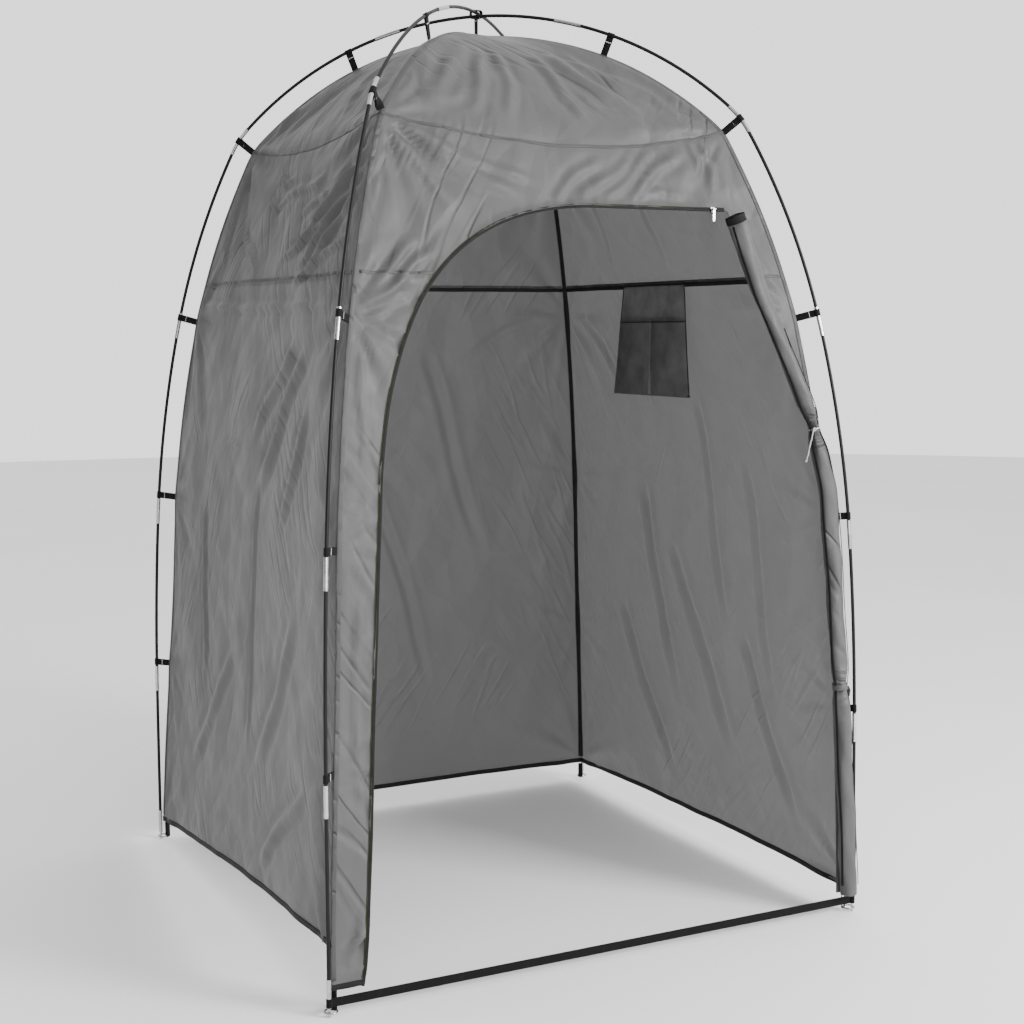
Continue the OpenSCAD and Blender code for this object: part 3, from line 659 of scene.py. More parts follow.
def fold_field(wall, x, z):
    """How far out the fabric stands at points (across, height) of a wall, from its folds."""
    d = np.zeros_like(x)
    for fold in FOLDS[wall]:
        x0, z0, x1, z1, w, h = (v / 1000 for v in fold)
        dx, dz = x1 - x0, z1 - z0
        length = math.hypot(dx, dz)
        t = ((x - x0) * dx + (z - z0) * dz) / length ** 2
        off = ((x - x0) * dz - (z - z0) * dx) / length
        off = off + 0.006 * np.sin(7 * t + 31 * x0)
        taper = smooth(t / 0.15 + 0.2) * smooth((1 - t) / 0.3)
        taper[(t < -0.1) | (t > 1)] = 0
        q = off / w
        # a crest with a hollow on each side
        d += h * taper * (np.exp(-q * q) - 0.55 * np.exp(-((np.abs(q) - 1.9) / 0.9) ** 2))
    for side in (-1, 1):
        for height, far, strength in PULLS:
            corner = side * float(half_width(height))
            dx, dz = (corner - x) * side, z - height
            away = np.hypot(dx, dz)
            turn = np.arctan2(dz, np.maximum(dx, 1e-6))
            phase = 3.1 * height + side + wall
            ray = np.sin(turn * 9 + phase) + 0.6 * np.sin(turn * 17 + 2 * phase + 4 * away)
            grow = smooth(away / 0.08) * np.exp(-(away / far) ** 2)
            d += 0.0042 * strength * ray * grow
    return d


def ripple(wall, x, z, scale, stretch):
    """Smooth noise on a wall, from -1 to 1."""
    (a, b), (c, d) = stretch
    flat = [noise.noise(Vector(((a * p + b * q) * scale, (c * p + d * q) * scale, 7.3 * wall)))
            for p, q in zip(x.ravel(), z.ravel())]
    return np.array(flat).reshape(x.shape)


# ---------------------------------------------------------------- the canopy

COLUMNS = 140
ROW_STEP = 0.0088
APEX_HALF = 0.010
HEM_EASE = 0.30  # the rows below this height follow the hem


def hem_height(wall, u):
    """The hem's height across a wall: the left wall's rises to the front, and each one arches."""
    arch = 1 - u * u
    if wall == LEFT:
        return HEM + (0.140 - HEM) * (u + 1) / 2 + 0.016 * arch
    if wall == FRONT:
        return HEM + 0.006 * arch
    return HEM + (0.012 if wall == RIGHT else 0.006) * arch


def canopy_rows():
    """Distances along the profile of the rows, with one on the waist."""
    last = float(np.interp(-APEX_HALF, -PROFILE[:, 0], PROFILE_T))
    first, waist = float(t_of(HEM)), float(t_of(WAIST))
    a = np.linspace(first, waist, int((waist - first) / ROW_STEP) + 1)
    b = np.linspace(waist, last, int((last - waist) / ROW_STEP) + 1)
    return np.r_[a, b[1:]]


def canopy_points():
    ts = canopy_rows()
    s = np.interp(ts, PROFILE_T, PROFILE[:, 0])
    z = np.interp(ts, PROFILE_T, PROFILE[:, 1])
    slope = heading(np.stack([s, z], 1))
    pts = np.zeros((4, len(ts), COLUMNS, 3))
    uvs = np.zeros((4, len(ts), COLUMNS, 2))
    u = -1 + 2 * np.arange(COLUMNS) / COLUMNS
    for wall in range(4):
        hem = hem_height(wall, u)
        zz = np.repeat(z[:, None], COLUMNS, 1)
        near = z < HEM_EASE
        zz[near] = hem + (z[near, None] - HEM) * (HEM_EASE - hem) / (HEM_EASE - HEM)
        ss = np.where(zz < 1.7, half_width(zz), s[:, None])
        x = u[None] * ss
        nrm = (OUT[wall] * slope[:, None, 1:2] + np.array([0, 0, 1.0]) * -slope[:, None, :1])
        nrm = np.repeat(nrm, COLUMNS, 1)
        edge = smooth((1 - np.abs(u)) * s[:, None] / 0.045)
        d = fold_field(wall, x, zz)
        # broad waves, upright on the walls and running with the slope on the roof
        d += 0.0060 * ripple(wall, x, zz, 3.2, ((1, 0.35), (-0.2, 0.35)))
        d += 0.0032 * ripple(wall, x, zz, 9.0, ((1, 0.5), (-0.4, 0.5)))
        d += 0.0014 * ripple(wall, x, zz, 20.0, ((1, 0.6), (-0.6, 0.8)))
        sag = -0.010 * np.cos(u * math.pi / 2)[None] * smooth((zz - 0.1) / 0.5)
        sag *= 1 - 0.7 * np.exp(-((zz - WAIST) / 0.10) ** 2)
        high = smooth((s[:, None] - 0.03) / 0.12)
        d = (d * high + sag * smooth(s[:, None] / 0.3)) * edge
        if wall == RIGHT:
            # the organiser hangs just inside the seam here
            behind = np.exp(-((zz - WAIST) / 0.09) ** 2) * smooth((0.30 - np.abs(x - 0.04)) / 0.10)
            d = d * (1 - behind) + np.maximum(d, -0.0008) * behind
        # the seam line under the roof hangs in a shallow curve and draws the fabric in
        eave = EAVE - SEAM_DROP[wall] * np.cos(u * math.pi / 2)[None]
        d -= 0.0022 * np.exp(-((zz - eave) / 0.006) ** 2) * edge
        d -= 0.0020 * np.exp(-((zz - WAIST) / 0.006) ** 2) * edge
        # corners draw in a little between the straps
        between = np.ones_like(z)
        for h in (0.07, *STRAP_HEIGHTS, EAVE, 1.985):
            between *= 1 - np.exp(-((z - h) / 0.06) ** 2)
        scallop = -0.0035 * between[:, None] * np.exp(-((1 - np.abs(u)[None]) * s[:, None] / 0.07) ** 2)
        corner_n = unit(OUT[wall] + ACROSS[wall] * np.sign(u + 1e-9)[None, :, None])
        base = OUT[wall] * ss[..., None] + ACROSS[wall] * x[..., None]
        base[..., 2] = zz
        pts[wall] = base + nrm * d[..., None] + corner_n * scallop[..., None]
        uvs[wall, ..., 0] = x + wall * 2
        uvs[wall, ..., 1] = ts[:, None]
    return pts, uvs, ts


def settle(obj, pins, grow, frames, cap):
    """Lets the cloth buckle into natural wrinkles between its pinned lines."""
    group = obj.vertex_groups.new(name="held")
    for weight in np.unique(pins):
        group.add(np.flatnonzero(pins == weight).tolist(), float(weight), "REPLACE")
    before = np.array([v.co for v in obj.data.vertices])
    mod = obj.modifiers.new("Cloth", "CLOTH")
    c = mod.settings
    c.quality = 4
    c.mass = 0.15
    c.tension_stiffness = c.compression_stiffness = 12
    c.shear_stiffness = 4
    c.bending_stiffness = 0.4
    c.tension_damping = c.compression_damping = 8
    c.air_damping = 3
    c.vertex_group_mass = "held"
    c.pin_stiffness = 6
    c.shrink_min = -grow
    c.effector_weights.gravity = 0.15
    mod.collision_settings.use_collision = False
    scene.frame_end = frames
    for f in range(1, frames + 1):
        scene.frame_set(f)
    shown = obj.evaluated_get(bpy.context.evaluated_depsgraph_get())
    after = np.array([v.co for v in shown.data.vertices])
    obj.modifiers.remove(mod)
    obj.vertex_groups.remove(group)
    scene.frame_set(1)
    move = after - before
    # ridges only one cell wide are evened out
    ends = np.array([e.vertices for e in obj.data.edges])
    count = np.bincount(ends.ravel(), minlength=len(move))[:, None]
    for _ in range(4):
        total = np.zeros_like(move)
        np.add.at(total, ends[:, 0], move[ends[:, 1]])
        np.add.at(total, ends[:, 1], move[ends[:, 0]])
        move = np.where(pins[:, None] < 1, 0.35 * move + 0.65 * total / count, move)
    far = np.linalg.norm(move, axis=1, keepdims=True)
    move *= np.minimum(1, cap / np.maximum(far, 1e-9))
    obj.data.vertices.foreach_set("co", (before + move).astype(np.float32).ravel())
    obj.data.update()


def build_canopy():
    pts, uvs, ts = canopy_points()
    rows, total = len(ts), 4 * COLUMNS
    grid = pts.transpose(1, 0, 2, 3).reshape(rows, total, 3)
    uv = uvs.transpose(1, 0, 2, 3).reshape(rows, total, 2)
    index = np.arange(rows * total).reshape(rows, total)
    right = np.roll(index, -1, 1)
    quads = np.stack([index[:-1], right[:-1], right[1:], index[1:]], -1).reshape(-1, 4)
    flat = grid.reshape(-1, 3)
    column = np.tile(np.arange(total), rows)
    wall = column // COLUMNS
    # the doorway is left out of the front wall, a little inside the zip tape
    cut = doorway(0.005)
    mid = flat[quads].mean(1)
    gone = (wall[quads[:, 0]] == FRONT) & inside(cut, mid[:, 0], mid[:, 2])
    keep = quads[~gone]
    edge = np.intersect1d(np.unique(quads[gone]), np.unique(keep))
    line = resample(np.concatenate([zip_line(0.005), SEWN + (0.0025, 0)]), 0.003)
    fixed = set()
    row_of = np.arange(rows * total) // total
    for i in edge:
        if column[i] % COLUMNS == 0 or row_of[i] == 0:
            continue
        k = np.argmin((line[:, 0] - flat[i, 0]) ** 2 + (line[:, 1] - flat[i, 2]) ** 2)
        x, h = line[k]
        flat[i] = (x, flat[i, 1], h)
        flat[i, 1] = -float(half_width(h)) + 0.002 * math.sin(19 * h + 5 * x)
        fixed.add(i)
    used = np.unique(keep)
    renumber = np.full(rows * total + 1, -1)
    renumber[used] = np.arange(len(used))
    verts = flat[used]
    faces = renumber[keep].tolist()
    top = len(verts)
    verts = np.vstack([verts, [[0, 0, float(PROFILE[-1, 1])]]])
    ring = renumber[index[-1]]
    faces += [[int(ring[i]), int(ring[(i + 1) % total]), top] for i in range(total)]
    uv_all = np.vstack([uv.reshape(-1, 2)[used], [[0, ts[-1]]]])
    obj = make("canopy", verts, faces, FABRIC, "tent", uv_all)
    held = np.zeros(len(verts))
    col, row = column[used], row_of[used]
    held[:-1][np.abs(verts[:-1, 2] - WAIST) < 0.004] = 0.3
    held[:-1][col % COLUMNS == 0] = 1.0
    held[:-1][row == 0] = 0.9
    held[:-1][row >= rows - 3] = 1.0
    held[-1] = 1.0
    held[renumber[sorted(fixed)]] = 1.0
    settle(obj, held, grow=0.020, frames=20, cap=0.014)
    return obj, renumber, index


canopy, canopy_number, canopy_index = build_canopy()
canopy_co = np.array([v.co for v in canopy.data.vertices])
tree = BVHTree.FromPolygons([tuple(v) for v in canopy_co], [tuple(p.vertices) for p in canopy.data.polygons])


def on_wall(wall, x, z, off=0.0):
    """Points on the fabric of a wall at (across, height), moved outwards by off, and the normals."""
    pts, nrm = [], []
    for a, h in zip(np.atleast_1d(x), np.atleast_1d(z)):
        lean = float(np.interp(h, [0, 1.0, 1.4, 1.6, 1.8, 1.95], [0, 0.06, 0.17, 0.28, 0.5, 0.9]))
        n = Vector(OUT[wall] * math.cos(lean) + np.array([0, 0, math.sin(lean)]))
        s = float(half_width(h))
        p = Vector(OUT[wall] * s + ACROSS[wall] * a + np.array([0, 0, h]))
        hit = tree.ray_cast(p + n * 0.06, -n, 0.12)
        if hit[0] is None:
            near = tree.find_nearest(p, 0.05)
            q = near[0] if near[0] is not None and (near[0] - p).length < 0.02 else p
            m = n
        else:
            q = hit[0]
            m = (hit[1] if hit[1].dot(n) > 0 else -hit[1]) * 0.4 + n * 0.6
            m.normalize()
        pts.append(np.array(q) + np.array(m) * off)
        nrm.append(np.array(m))
    return np.array(pts), np.array(nrm)


def laid(parts, wall, line, width, thick, off=0.0, even=5):
    """A band along a line of (across, height) on a wall."""
    line = np.asarray(line, float)
    pts, nrm = on_wall(wall, line[:, 0], line[:, 1], off)
    if len(pts) > even:
        even_out(pts, even)
        even_out(nrm, even)
    nrm = unit(nrm)
    parts.band(pts, np.cross(nrm, heading(pts)), nrm, width, thick)


# ---------------------------------------------------------------- seams

seams = Parts()
SPAN = np.linspace(-1, 1, 230)
for wall in range(4):
    # the seam under the roof
    z = EAVE - SEAM_DROP[wall] * np.cos(SPAN * math.pi / 2)
    x = SPAN * (half_width(z) - 0.002)
    laid(seams, wall, np.stack([x, z], 1), 0.0065, 0.0016, 0.0006, 3)
    # the seam at the waist
    x = SPAN * (half_width(WAIST) - 0.014)
    line = np.stack([x, np.full_like(x, WAIST)], 1)
    runs = [line]
    if wall == FRONT:
        clear = ~inside(doorway(ZIP_W), line[:, 0], line[:, 1])
        runs = [line[clear & (x < 0)], line[clear & (x > 0)]]
    for run in runs:
        laid(seams, wall, run, 0.007, 0.0014, 0.0006, 3)
# felled seams up both sides of each corner
corner_t = np.linspace(float(t_of(HEM + 0.02)), float(np.interp(-0.02, -PROFILE[:, 0], PROFILE_T)), 240)
corner_s = np.interp(corner_t, PROFILE_T, PROFILE[:, 0])
corner_z = np.interp(corner_t, PROFILE_T, PROFILE[:, 1])
for wall in range(4):
    for side in (-1, 1):
        x, z = side * (corner_s - 0.006), corner_z
        ok = np.abs(x) > 0.008
        if wall == FRONT and side == 1:
            ok &= z > 1.12
        if wall == LEFT and side == 1:
            ok &= z > 0.155
        laid(seams, wall, np.stack([x, z], 1)[ok], 0.0105, 0.0016, 0.0002)
seams_obj = seams.build("canopy_seams", SEAM, "tent")

# ---------------------------------------------------------------- hem bindings and inside tapes

hems = Parts()
for wall in (RIGHT, BACK, LEFT):
    columns = np.arange(wall * COLUMNS, (wall + 1) * COLUMNS + 1) % (4 * COLUMNS)
    pts = canopy_co[canopy_number[canopy_index[0, columns]]]
    if wall == LEFT:
        # this hem reaches the corner higher up than the front one starts
        h = float(half_width(pts[-2, 2]))
        pts[-1] = (-h, -h, pts[-2, 2] - 0.006)
    even_out(pts, 5)
    pts[:, 2] += 0.006
    out = np.tile(OUT[wall], (len(pts), 1))
    hems.band(pts, unit(np.cross(heading(pts), out)), out, 0.013, 0.0032)
u = np.linspace(-0.999, -0.565 / float(half_width(0.055)) - 0.012, 22)
z = hem_height(FRONT, u)
laid(hems, FRONT, np.stack([u * half_width(z), z + 0.006], 1), 0.012, 0.0032)
for wall in (RIGHT, BACK, LEFT):
    x = np.linspace(-0.978, 0.978, 110) * half_width(WAIST - 0.008)
    laid(hems, wall, np.stack([x, np.full_like(x, WAIST - 0.008)], 1), 0.010, 0.0012, -0.0022)
for angle in (45, 135):
    a = math.radians(angle)
    out = np.array([math.cos(a), math.sin(a), 0])
    side = np.array([-math.sin(a), math.cos(a), 0])
    z = np.linspace(0.070, 1.80, 120)
    r = half_width(z) * math.sqrt(2) - 0.0085
    pts = out[None] * r[:, None] + np.array([0, 0, 1.0]) * z[:, None]
    wide = np.tile(side, (len(z), 1))
    hems.band(pts, wide, np.cross(heading(pts), wide), 0.011, 0.0014)
hems_obj = hems.build("hem_and_inside_tapes", BINDING, "tent")
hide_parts("edge_bindings")

# ---------------------------------------------------------------- zip tape, teeth and edge

zips = Parts()
# the line a little way into the fabric, where every point lies on it, carries all the strips
ZIP_BASE = 0.010
base_line = zip_line(ZIP_BASE, 0.006)
base, base_n = on_wall(FRONT, base_line[:, 0], base_line[:, 1])
even_out(base, 9)
even_out(base_n, 9)
base_n = unit(base_n)
base_a = unit(np.cross(base_n, heading(base)))


def beside_zip(side):
    """A line beside the zip, this far from the edge of the opening."""
    return base + base_a * (side - ZIP_BASE)


zips.band(beside_zip(0.0036), base_a, base_n, 0.0080, 0.0032, 0)
zips.band(beside_zip(0.0080), base_a, base_n, 0.0013, 0.0028, 1)
coil_pts = resample(beside_zip(0.0012), 0.0026)
coil_along = heading(coil_pts)
coil_out = np.tile(np.array([0, -1.0, 0.1]), (len(coil_pts), 1))
coil_across = unit(np.cross(coil_out, coil_along))
coil_out = np.cross(coil_along, coil_across)
for p, d, a, o in zip(coil_pts, coil_along, coil_across, coil_out):
    zips.block(p, a, o, d, (0.0042, 0.0026, 0.0016), 2, 0.5)
zips_obj = zips.build("zip_tape_and_teeth", [ZIP_TAPE, ZIP_EDGE, COIL], "tent")
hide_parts("zip_tape")

# ---------------------------------------------------------------- rolled door

ROLL_POINTS = np.array([(50, 627), (300, 617), (540, 608), (800, 595), (1000, 580), (1134, 552),
                        (1230, 516), (1330, 474), (1430, 436), (1530, 408), (1612, 392)]) * MM
ROLL_OUT = np.array([(50, 21), (400, 26), (1700, 26)]) * MM
LOW_TIE, HIGH_TIE = 0.540, 1.134
ROLL_R = 0.0205
TURNS = 11
TURN_STEPS = 20
CORE_R = 0.0035
FLAP_STEPS = 7
ROLL_FOOT, ROLL_TOP = 0.050, 1.612
TOP_TAPE = ROLL_TOP - 0.016
CORNER_STRIP = 0.032  # where the wall beside the door is narrower than this, the flap goes to the corner


def roll_r(z):
    return (ROLL_R - 0.005 * np.exp(-((z - LOW_TIE) / 0.030) ** 2)
            - 0.010 * np.exp(-((z - HIGH_TIE) / 0.032) ** 2))


def roll_place(z):
    z = np.asarray(z, float)
    return np.stack([np.interp(z, ROLL_POINTS[:, 0], ROLL_POINTS[:, 1]),
                     -half_width(z) - np.interp(z, ROLL_OUT[:, 0], ROLL_OUT[:, 1]), z], -1)


def build_roll():
    zs = np.unique(np.concatenate([
        np.linspace(ROLL_FOOT, ROLL_TOP, 110), LOW_TIE + np.linspace(-0.04, 0.04, 13),
        HIGH_TIE + np.linspace(-0.05, 0.05, 17), [ROLL_FOOT + 0.014, TOP_TAPE]]))
    mid = roll_place(zs)
    even_out(mid, 5, 2)
    phi = np.linspace(0, 2 * math.pi * TURNS, TURNS * TURN_STEPS + 1)
    share = phi / phi[-1]
    steps = np.linspace(0, 1, FLAP_STEPS + 1)[1:]
    verts, uvs = [], []
    for z, c in zip(zs, mid):
        r_out = float(roll_r(z))
        # the top is cut square to the roll, which leans
        tilt = 0.42 * float(smooth((z - 1.36) / 0.22))
        # long helical folds press into the outer turns, and pleats gather at the ties
        pinch = (math.exp(-((z - HIGH_TIE) / 0.09) ** 2)
                 + 0.5 * math.exp(-((z - LOW_TIE) / 0.06) ** 2))
        wave = (0.0013 * np.sin(2 * phi + 9 * z) + 0.0012 * np.sin(3 * phi - 17 * z + 1)
                + 0.0012 * np.sin(phi + 34 * z) + 0.0022 * pinch * np.sin(7 * phi + 5 * z)
                + 0.0011 * np.sin(4 * phi + 61 * z) * math.sin(13 * z))
        r = CORE_R + (r_out - CORE_R) * share + wave * share ** 2
        x = c[0] + r * np.cos(phi)
        y = c[1] + 0.94 * r * np.sin(phi)
        half, sewn = float(half_width(z)), float(sewn_x(z))
        # the flap overlaps the wall's edge, or goes to the corner where the wall's strip has run out
        end = np.array([sewn + 0.006, -0.0015 - half])
        if sewn > half - CORNER_STRIP:
            end = np.array([half + 0.0005, 0.002 - half])
        last = np.array([x[-1], y[-1]])
        bulge = 0.35 * np.linalg.norm(end - last)
        for q in steps:
            mix = last * (1 - q) + end * q
            x, y = np.r_[x, mix[0] + bulge * q * (1 - q)], np.r_[y, mix[1]]
        fade = np.r_[np.ones(len(phi)), np.linspace(1, 0, FLAP_STEPS + 1)[1:]]
        verts.append(np.stack([x, y, z + tilt * (x - c[0]) * fade], 1))
        length = np.r_[0, np.cumsum(np.hypot(np.diff(x), np.diff(y)))]
        uvs.append(np.stack([length, np.full_like(length, z)], 1))
    n, m = len(zs), verts[0].shape[0]
    verts, uvs = np.concatenate(verts), np.concatenate(uvs)
    faces, mats = [], []
    for i in range(n - 1):
        faces += [(i * m + j, i * m + j + 1, (i + 1) * m + j + 1, (i + 1) * m + j) for j in range(m - 1)]
        mats += [int(zs[i] > TOP_TAPE - 0.001)] * (m - 1)
    # the door fabric's darker tone is painted shade on the roll
    obj = make("rolled_door", verts, faces, [DOOR_FABRIC, ZIP_TAPE], "tent", uvs, mats)
    widths = uvs[:, 0].reshape(n, m)[:, -1]
    return obj, float(widths.max()), float(np.mean(widths)), float(zs[-1] - zs[0])


roll, roll_widest, roll_mean, roll_height = build_roll()
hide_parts("door_roll")

# the door's own zip edge lies down the roll's side, and a dark strip where the door leaves the wall is a
# painted shadow of the gap there
edges = Parts()
for angle, low, high, width, mat in ((198, 0.075, 1.585, 0.0055, 0), (-38, 0.075, 1.36, 0.0050, 1)):
    z = np.linspace(low, high, 150)
    a = math.radians(angle)
    out = np.array([math.cos(a), math.sin(a), 0])
    pts = roll_place(z) + out * (roll_r(z) + 0.0012)[:, None]
    pts[:, 0] += 0.0012 * np.sin(23 * z) * out[0]
    outs = np.tile(out, (len(z), 1))
    edges.band(pts, np.cross(heading(pts), outs), outs, width, 0.0018, mat)
edges.build("door_zip_edge_and_painted_shadow", [ZIP_TAPE, BINDING], "tent")

# ---------------------------------------------------------------- ties


def roll_axis(z):
    return unit(roll_place(z + 0.02) - roll_place(z - 0.02))


def ring_round(z, radius, count=40, rise=0.0, turns=1.0, start=0.0):
    d = roll_axis(z)
    a = unit(np.cross(d, [0, 1, 0]))
    b = np.cross(a, d)
    q = start + np.linspace(0, 2 * math.pi * turns, count)
    return (roll_place(z) + radius * (np.cos(q)[:, None] * a + np.sin(q)[:, None] * b)
            + np.linspace(-rise / 2, rise / 2, count)[:, None] * d)


def in_mm(start, *offsets):
    return [start + np.array(p) * MM for p in offsets]


KNOT = roll_place(HIGH_TIE) + np.array([-0.010, -0.0127, -0.001])
KNOT_LOOPS = in_mm(KNOT, (3, 1, 3), (0, -2, 4), (-3, -2, 2), (-3, -1, -2), (0, 0, -4), (3, -1, -2),
                   (3, -3, 1), (0, -4, 2), (-2, -4, -1), (0, -3, -3), (2, -1, -3), (4, 1, -1), (5, 2, 2))
# two turns round the roll, and the knot
tie = Parts()
tie.rod(ring_round(HIGH_TIE, float(roll_r(HIGH_TIE)) + 0.0019, 90, 0.0034, 2.0, math.pi), 0.0013)
tie.rod(resample(KNOT_LOOPS, 0.0012), 0.0013)
tie_obj = tie.build("upper_tie_and_knot", TIE, "tent")
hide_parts("door_tie_upper")

# the cord's free end, along the route of its CAD solid
TAIL = in_mm(KNOT, (0, 0, 0), (-3, -3, -1), (-6, -5, -4), (-8, -6, -9), (-9, -6, -15), (-10, -5, -22),
             (-12, -4, -30), (-14, -4, -38), (-16, -4, -46), (-18, -5, -54), (-21, -5, -62), (-24, -5, -70))
TAIL_D = 0.003
curve = bpy.data.curves.new("tie_cord_end", "CURVE")
curve.dimensions = "3D"
curve.bevel_depth = TAIL_D / 2
curve.bevel_resolution = 4
curve.resolution_u = 6
curve.use_fill_caps = True
spline = curve.splines.new("NURBS")
spline.points.add(len(TAIL) - 1)
for point, p in zip(spline.points, TAIL):
    point.co = (*p, 1)
spline.order_u = 3
spline.use_endpoint_u = True
curve.materials.append(TIE)
tail_obj = bpy.data.objects.new("tie_cord_end", curve)
scene.collection.objects.link(tail_obj)
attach(tail_obj, "tent")
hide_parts("tie_tail")
end_knot = Parts()
END_LOOPS = in_mm(TAIL[-1], (0, 0, 1), (1.4, -1, 0), (0.6, -1.6, -1.6), (-1.2, -0.6, -1.8),
                  (-1.2, 1, -0.4), (0.6, 1.4, 0), (1.2, 0.2, -1.6), (-0.4, -0.4, -3))
end_knot.rod(resample(END_LOOPS, 0.0009), 0.0012)
end_knot.build("tie_end_knot", TIE, "tent")

lower = Parts()
band_r = float(roll_r(LOW_TIE)) + 0.0015
ring = ring_round(LOW_TIE, band_r, 44)[:-1]
mid = roll_place(LOW_TIE)
axis = np.tile(roll_axis(LOW_TIE), (len(ring), 1))
lower.band(ring, axis, unit(ring - mid), 0.014, 0.0014, 0, True)
end = resample(mid + np.array([(band_r * 0.95, -0.004, 0), (band_r + 0.006, -0.002, -0.010),
                               (band_r + 0.006, 0.001, -0.026)]), 0.003)
lower.band(end, np.tile([0.3, -0.9, 0.2], (len(end), 1)), np.tile([1.0, 0.3, 0], (len(end), 1)),
           0.012, 0.0014)
# the tie band is in the door fabric, whose darker tone is painted shade
lower_obj = lower.build("lower_tie_band", DOOR_FABRIC, "tent")
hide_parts("door_tie_lower")

# ---------------------------------------------------------------- hanging straps


TACK_IN = 0.0135  # from the pole's skin to the tacks that close a strap's loop


def strap_frame(corner, arc, a):
    """A strap's place: pole point, outward direction, direction along the pole and across both."""
    t = math.radians(CORNERS[corner])
    e = np.array([math.cos(t), math.sin(t), 0])
    r, z = pole_point(arc, a)
    out = e * math.cos(a) + np.array([0, 0, math.sin(a)])
    along = -e * math.sin(a) + np.array([0, 0, math.cos(a)])
    return e * r + np.array([0, 0, z]), out, along, np.cross(along, out)


def add_strap(parts, at, out, along, side, hold_r, gap, twist=0.0):
    """Webbing round the pole, its two layers stitched together, twisted where they meet the fabric."""
    r = hold_r + 0.0010
    q = np.linspace(math.radians(28), math.radians(332), 26)
    loop = at + r * (-np.cos(q)[:, None] * out + np.sin(q)[:, None] * side)
    leg = np.linspace(0, 1, 12)[1:]
    first, second = (near + (at - out * (gap + 0.004) + side * off - near) * leg[:, None]
                     for near, off in ((loop[0], 0.0008), (loop[-1], -0.0008)))
    pts = np.concatenate([first[::-1], loop, second])
    q = np.concatenate([leg[::-1], np.zeros(len(loop)), leg])
    q = math.radians(twist) * smooth((q - 0.35) / 0.6)
    wide = np.cos(q)[:, None] * along + np.sin(q)[:, None] * side
    parts.band(pts, wide, unit(np.cross(heading(pts), wide)), STRAP_W, 0.0012)
    # white bar tacks hold the loop closed
    c = at - out * (hold_r + TACK_IN)
    for s in (-1, 1):
        tack = [c + along * w + side * s * 0.0021 for w in np.linspace(-STRAP_W * 0.46, STRAP_W * 0.46, 12)]
        tack = np.array(tack) + out * (0.0006 * np.sin(np.arange(12) * 2.6))[:, None]
        parts.rod(tack, 0.00085, 6, 1)


for corner in CORNERS:
    arcs = ARCS[corner in ("front_left", "back_right")]
    parts = Parts()
    for k, z in enumerate(STRAP_HEIGHTS):
        arc = arcs[k + 1]
        a = math.asin((z - arc[1]) / arc[2])
        add_strap(parts, *strap_frame(corner, arc, a), FERRULE_R if k == 2 else POLE_R, float(gap_at(z)))
    add_strap(parts, *strap_frame(corner, arcs[4], EAVE_LEAN), FERRULE_R + 0.0005, STRAP_GAP,
              twist=65 if corner == "front_left" else 0)
    add_strap(parts, *strap_frame(corner, arcs[5], ROOF_STRAP), POLE_R, STRAP_GAP)
    obj = parts.build(corner + "_hanging_straps", [WEBBING, STITCH], "tent")
    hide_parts(corner + "_straps")

# a loop with rounded corners goes round both poles where they cross, and two legs run down to the peak
APEX_W, LOOP_HALF, LOOP_CORNER = 0.014, 0.0140, 0.0055
apex = Parts()
low_z, high_z = (arcs[5][1] + arcs[5][2] for arcs in ARCS)
bottom, top = low_z - POLE_R - 0.0012, high_z + POLE_R + 0.0012
loop = []
for sx, cz, a0 in ((1, bottom + LOOP_CORNER, -90), (1, top - LOOP_CORNER, 0),
                   (-1, top - LOOP_CORNER, 90), (-1, bottom + LOOP_CORNER, 180)):
    for a in np.radians(np.linspace(a0, a0 + 90, 7)):
        cx = sx * (LOOP_HALF - LOOP_CORNER)
        loop.append((cx + LOOP_CORNER * math.cos(a), 0, cz + LOOP_CORNER * math.sin(a)))
loop = np.array(loop)
d = unit(np.roll(loop, -1, 0) - np.roll(loop, 1, 0))
y_axis = np.tile([0.0, 1.0, 0.0], (len(loop), 1))
apex.band(loop, y_axis, np.cross(d, y_axis), APEX_W, 0.0012, 0, True)
for side in (-1, 1):
    leg = np.stack([np.linspace(side * 0.0012, side * 0.0007, 12), np.zeros(12),
                    np.linspace(bottom - 0.0006, low_z - STRAP_GAP - 0.002, 12)], 1)
    apex.band(leg, y_axis[:12], np.tile([1.0, 0.0, 0.0], (12, 1)), APEX_W, 0.0012)
    tack = np.stack([np.full(12, side * 0.0021), np.linspace(-0.0062, 0.0062, 12),
                     np.full(12, bottom - 0.006)], 1)
    apex.rod(tack, 0.0007, 6, 1)
apex_obj = apex.build("apex_hanging_strap", [WEBBING, STITCH], "tent")
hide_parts("apex_strap")

# ---------------------------------------------------------------- organiser

back_low, back_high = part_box("organiser_back")
pocket_low, pocket_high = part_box("organiser_pockets")
ORG_TOP_Y = (-0.112, 0.187)
NEAR_FLARE, FAR_FLARE = 0.031, 0.053  # how much further out its bottom corners are
SPLIT = 0.048
POCKET_EDGES = (0.015, 0.985)


def organiser_y(v, z):
    """Across position of the organiser at share v of its width, at a height."""
    f = (back_high.z - z) / (back_high.z - back_low.z)
    a = ORG_TOP_Y[0] - NEAR_FLARE * f
    b = ORG_TOP_Y[1] + FAR_FLARE * f
    return a + (b - a) * v


def organiser_sheet(name, low_v, high_v, z0, z1, x_of, mat, nv, nz):
    vs, zs = np.linspace(low_v, high_v, nv), np.linspace(z0, z1, nz)
    verts, uvs = [], []
    for z in zs:
        for v in vs:
            y = organiser_y(v, z)
            verts.append((x_of((v - low_v) / (high_v - low_v), (z - z0) / (z1 - z0), y, z), y, z))
            uvs.append((y, z))
    faces = [(i * nv + j, i * nv + j + 1, (i + 1) * nv + j + 1, (i + 1) * nv + j)
             for i in range(nz - 1) for j in range(nv - 1)]
    return make(name, verts, faces, mat, "organiser", uvs)


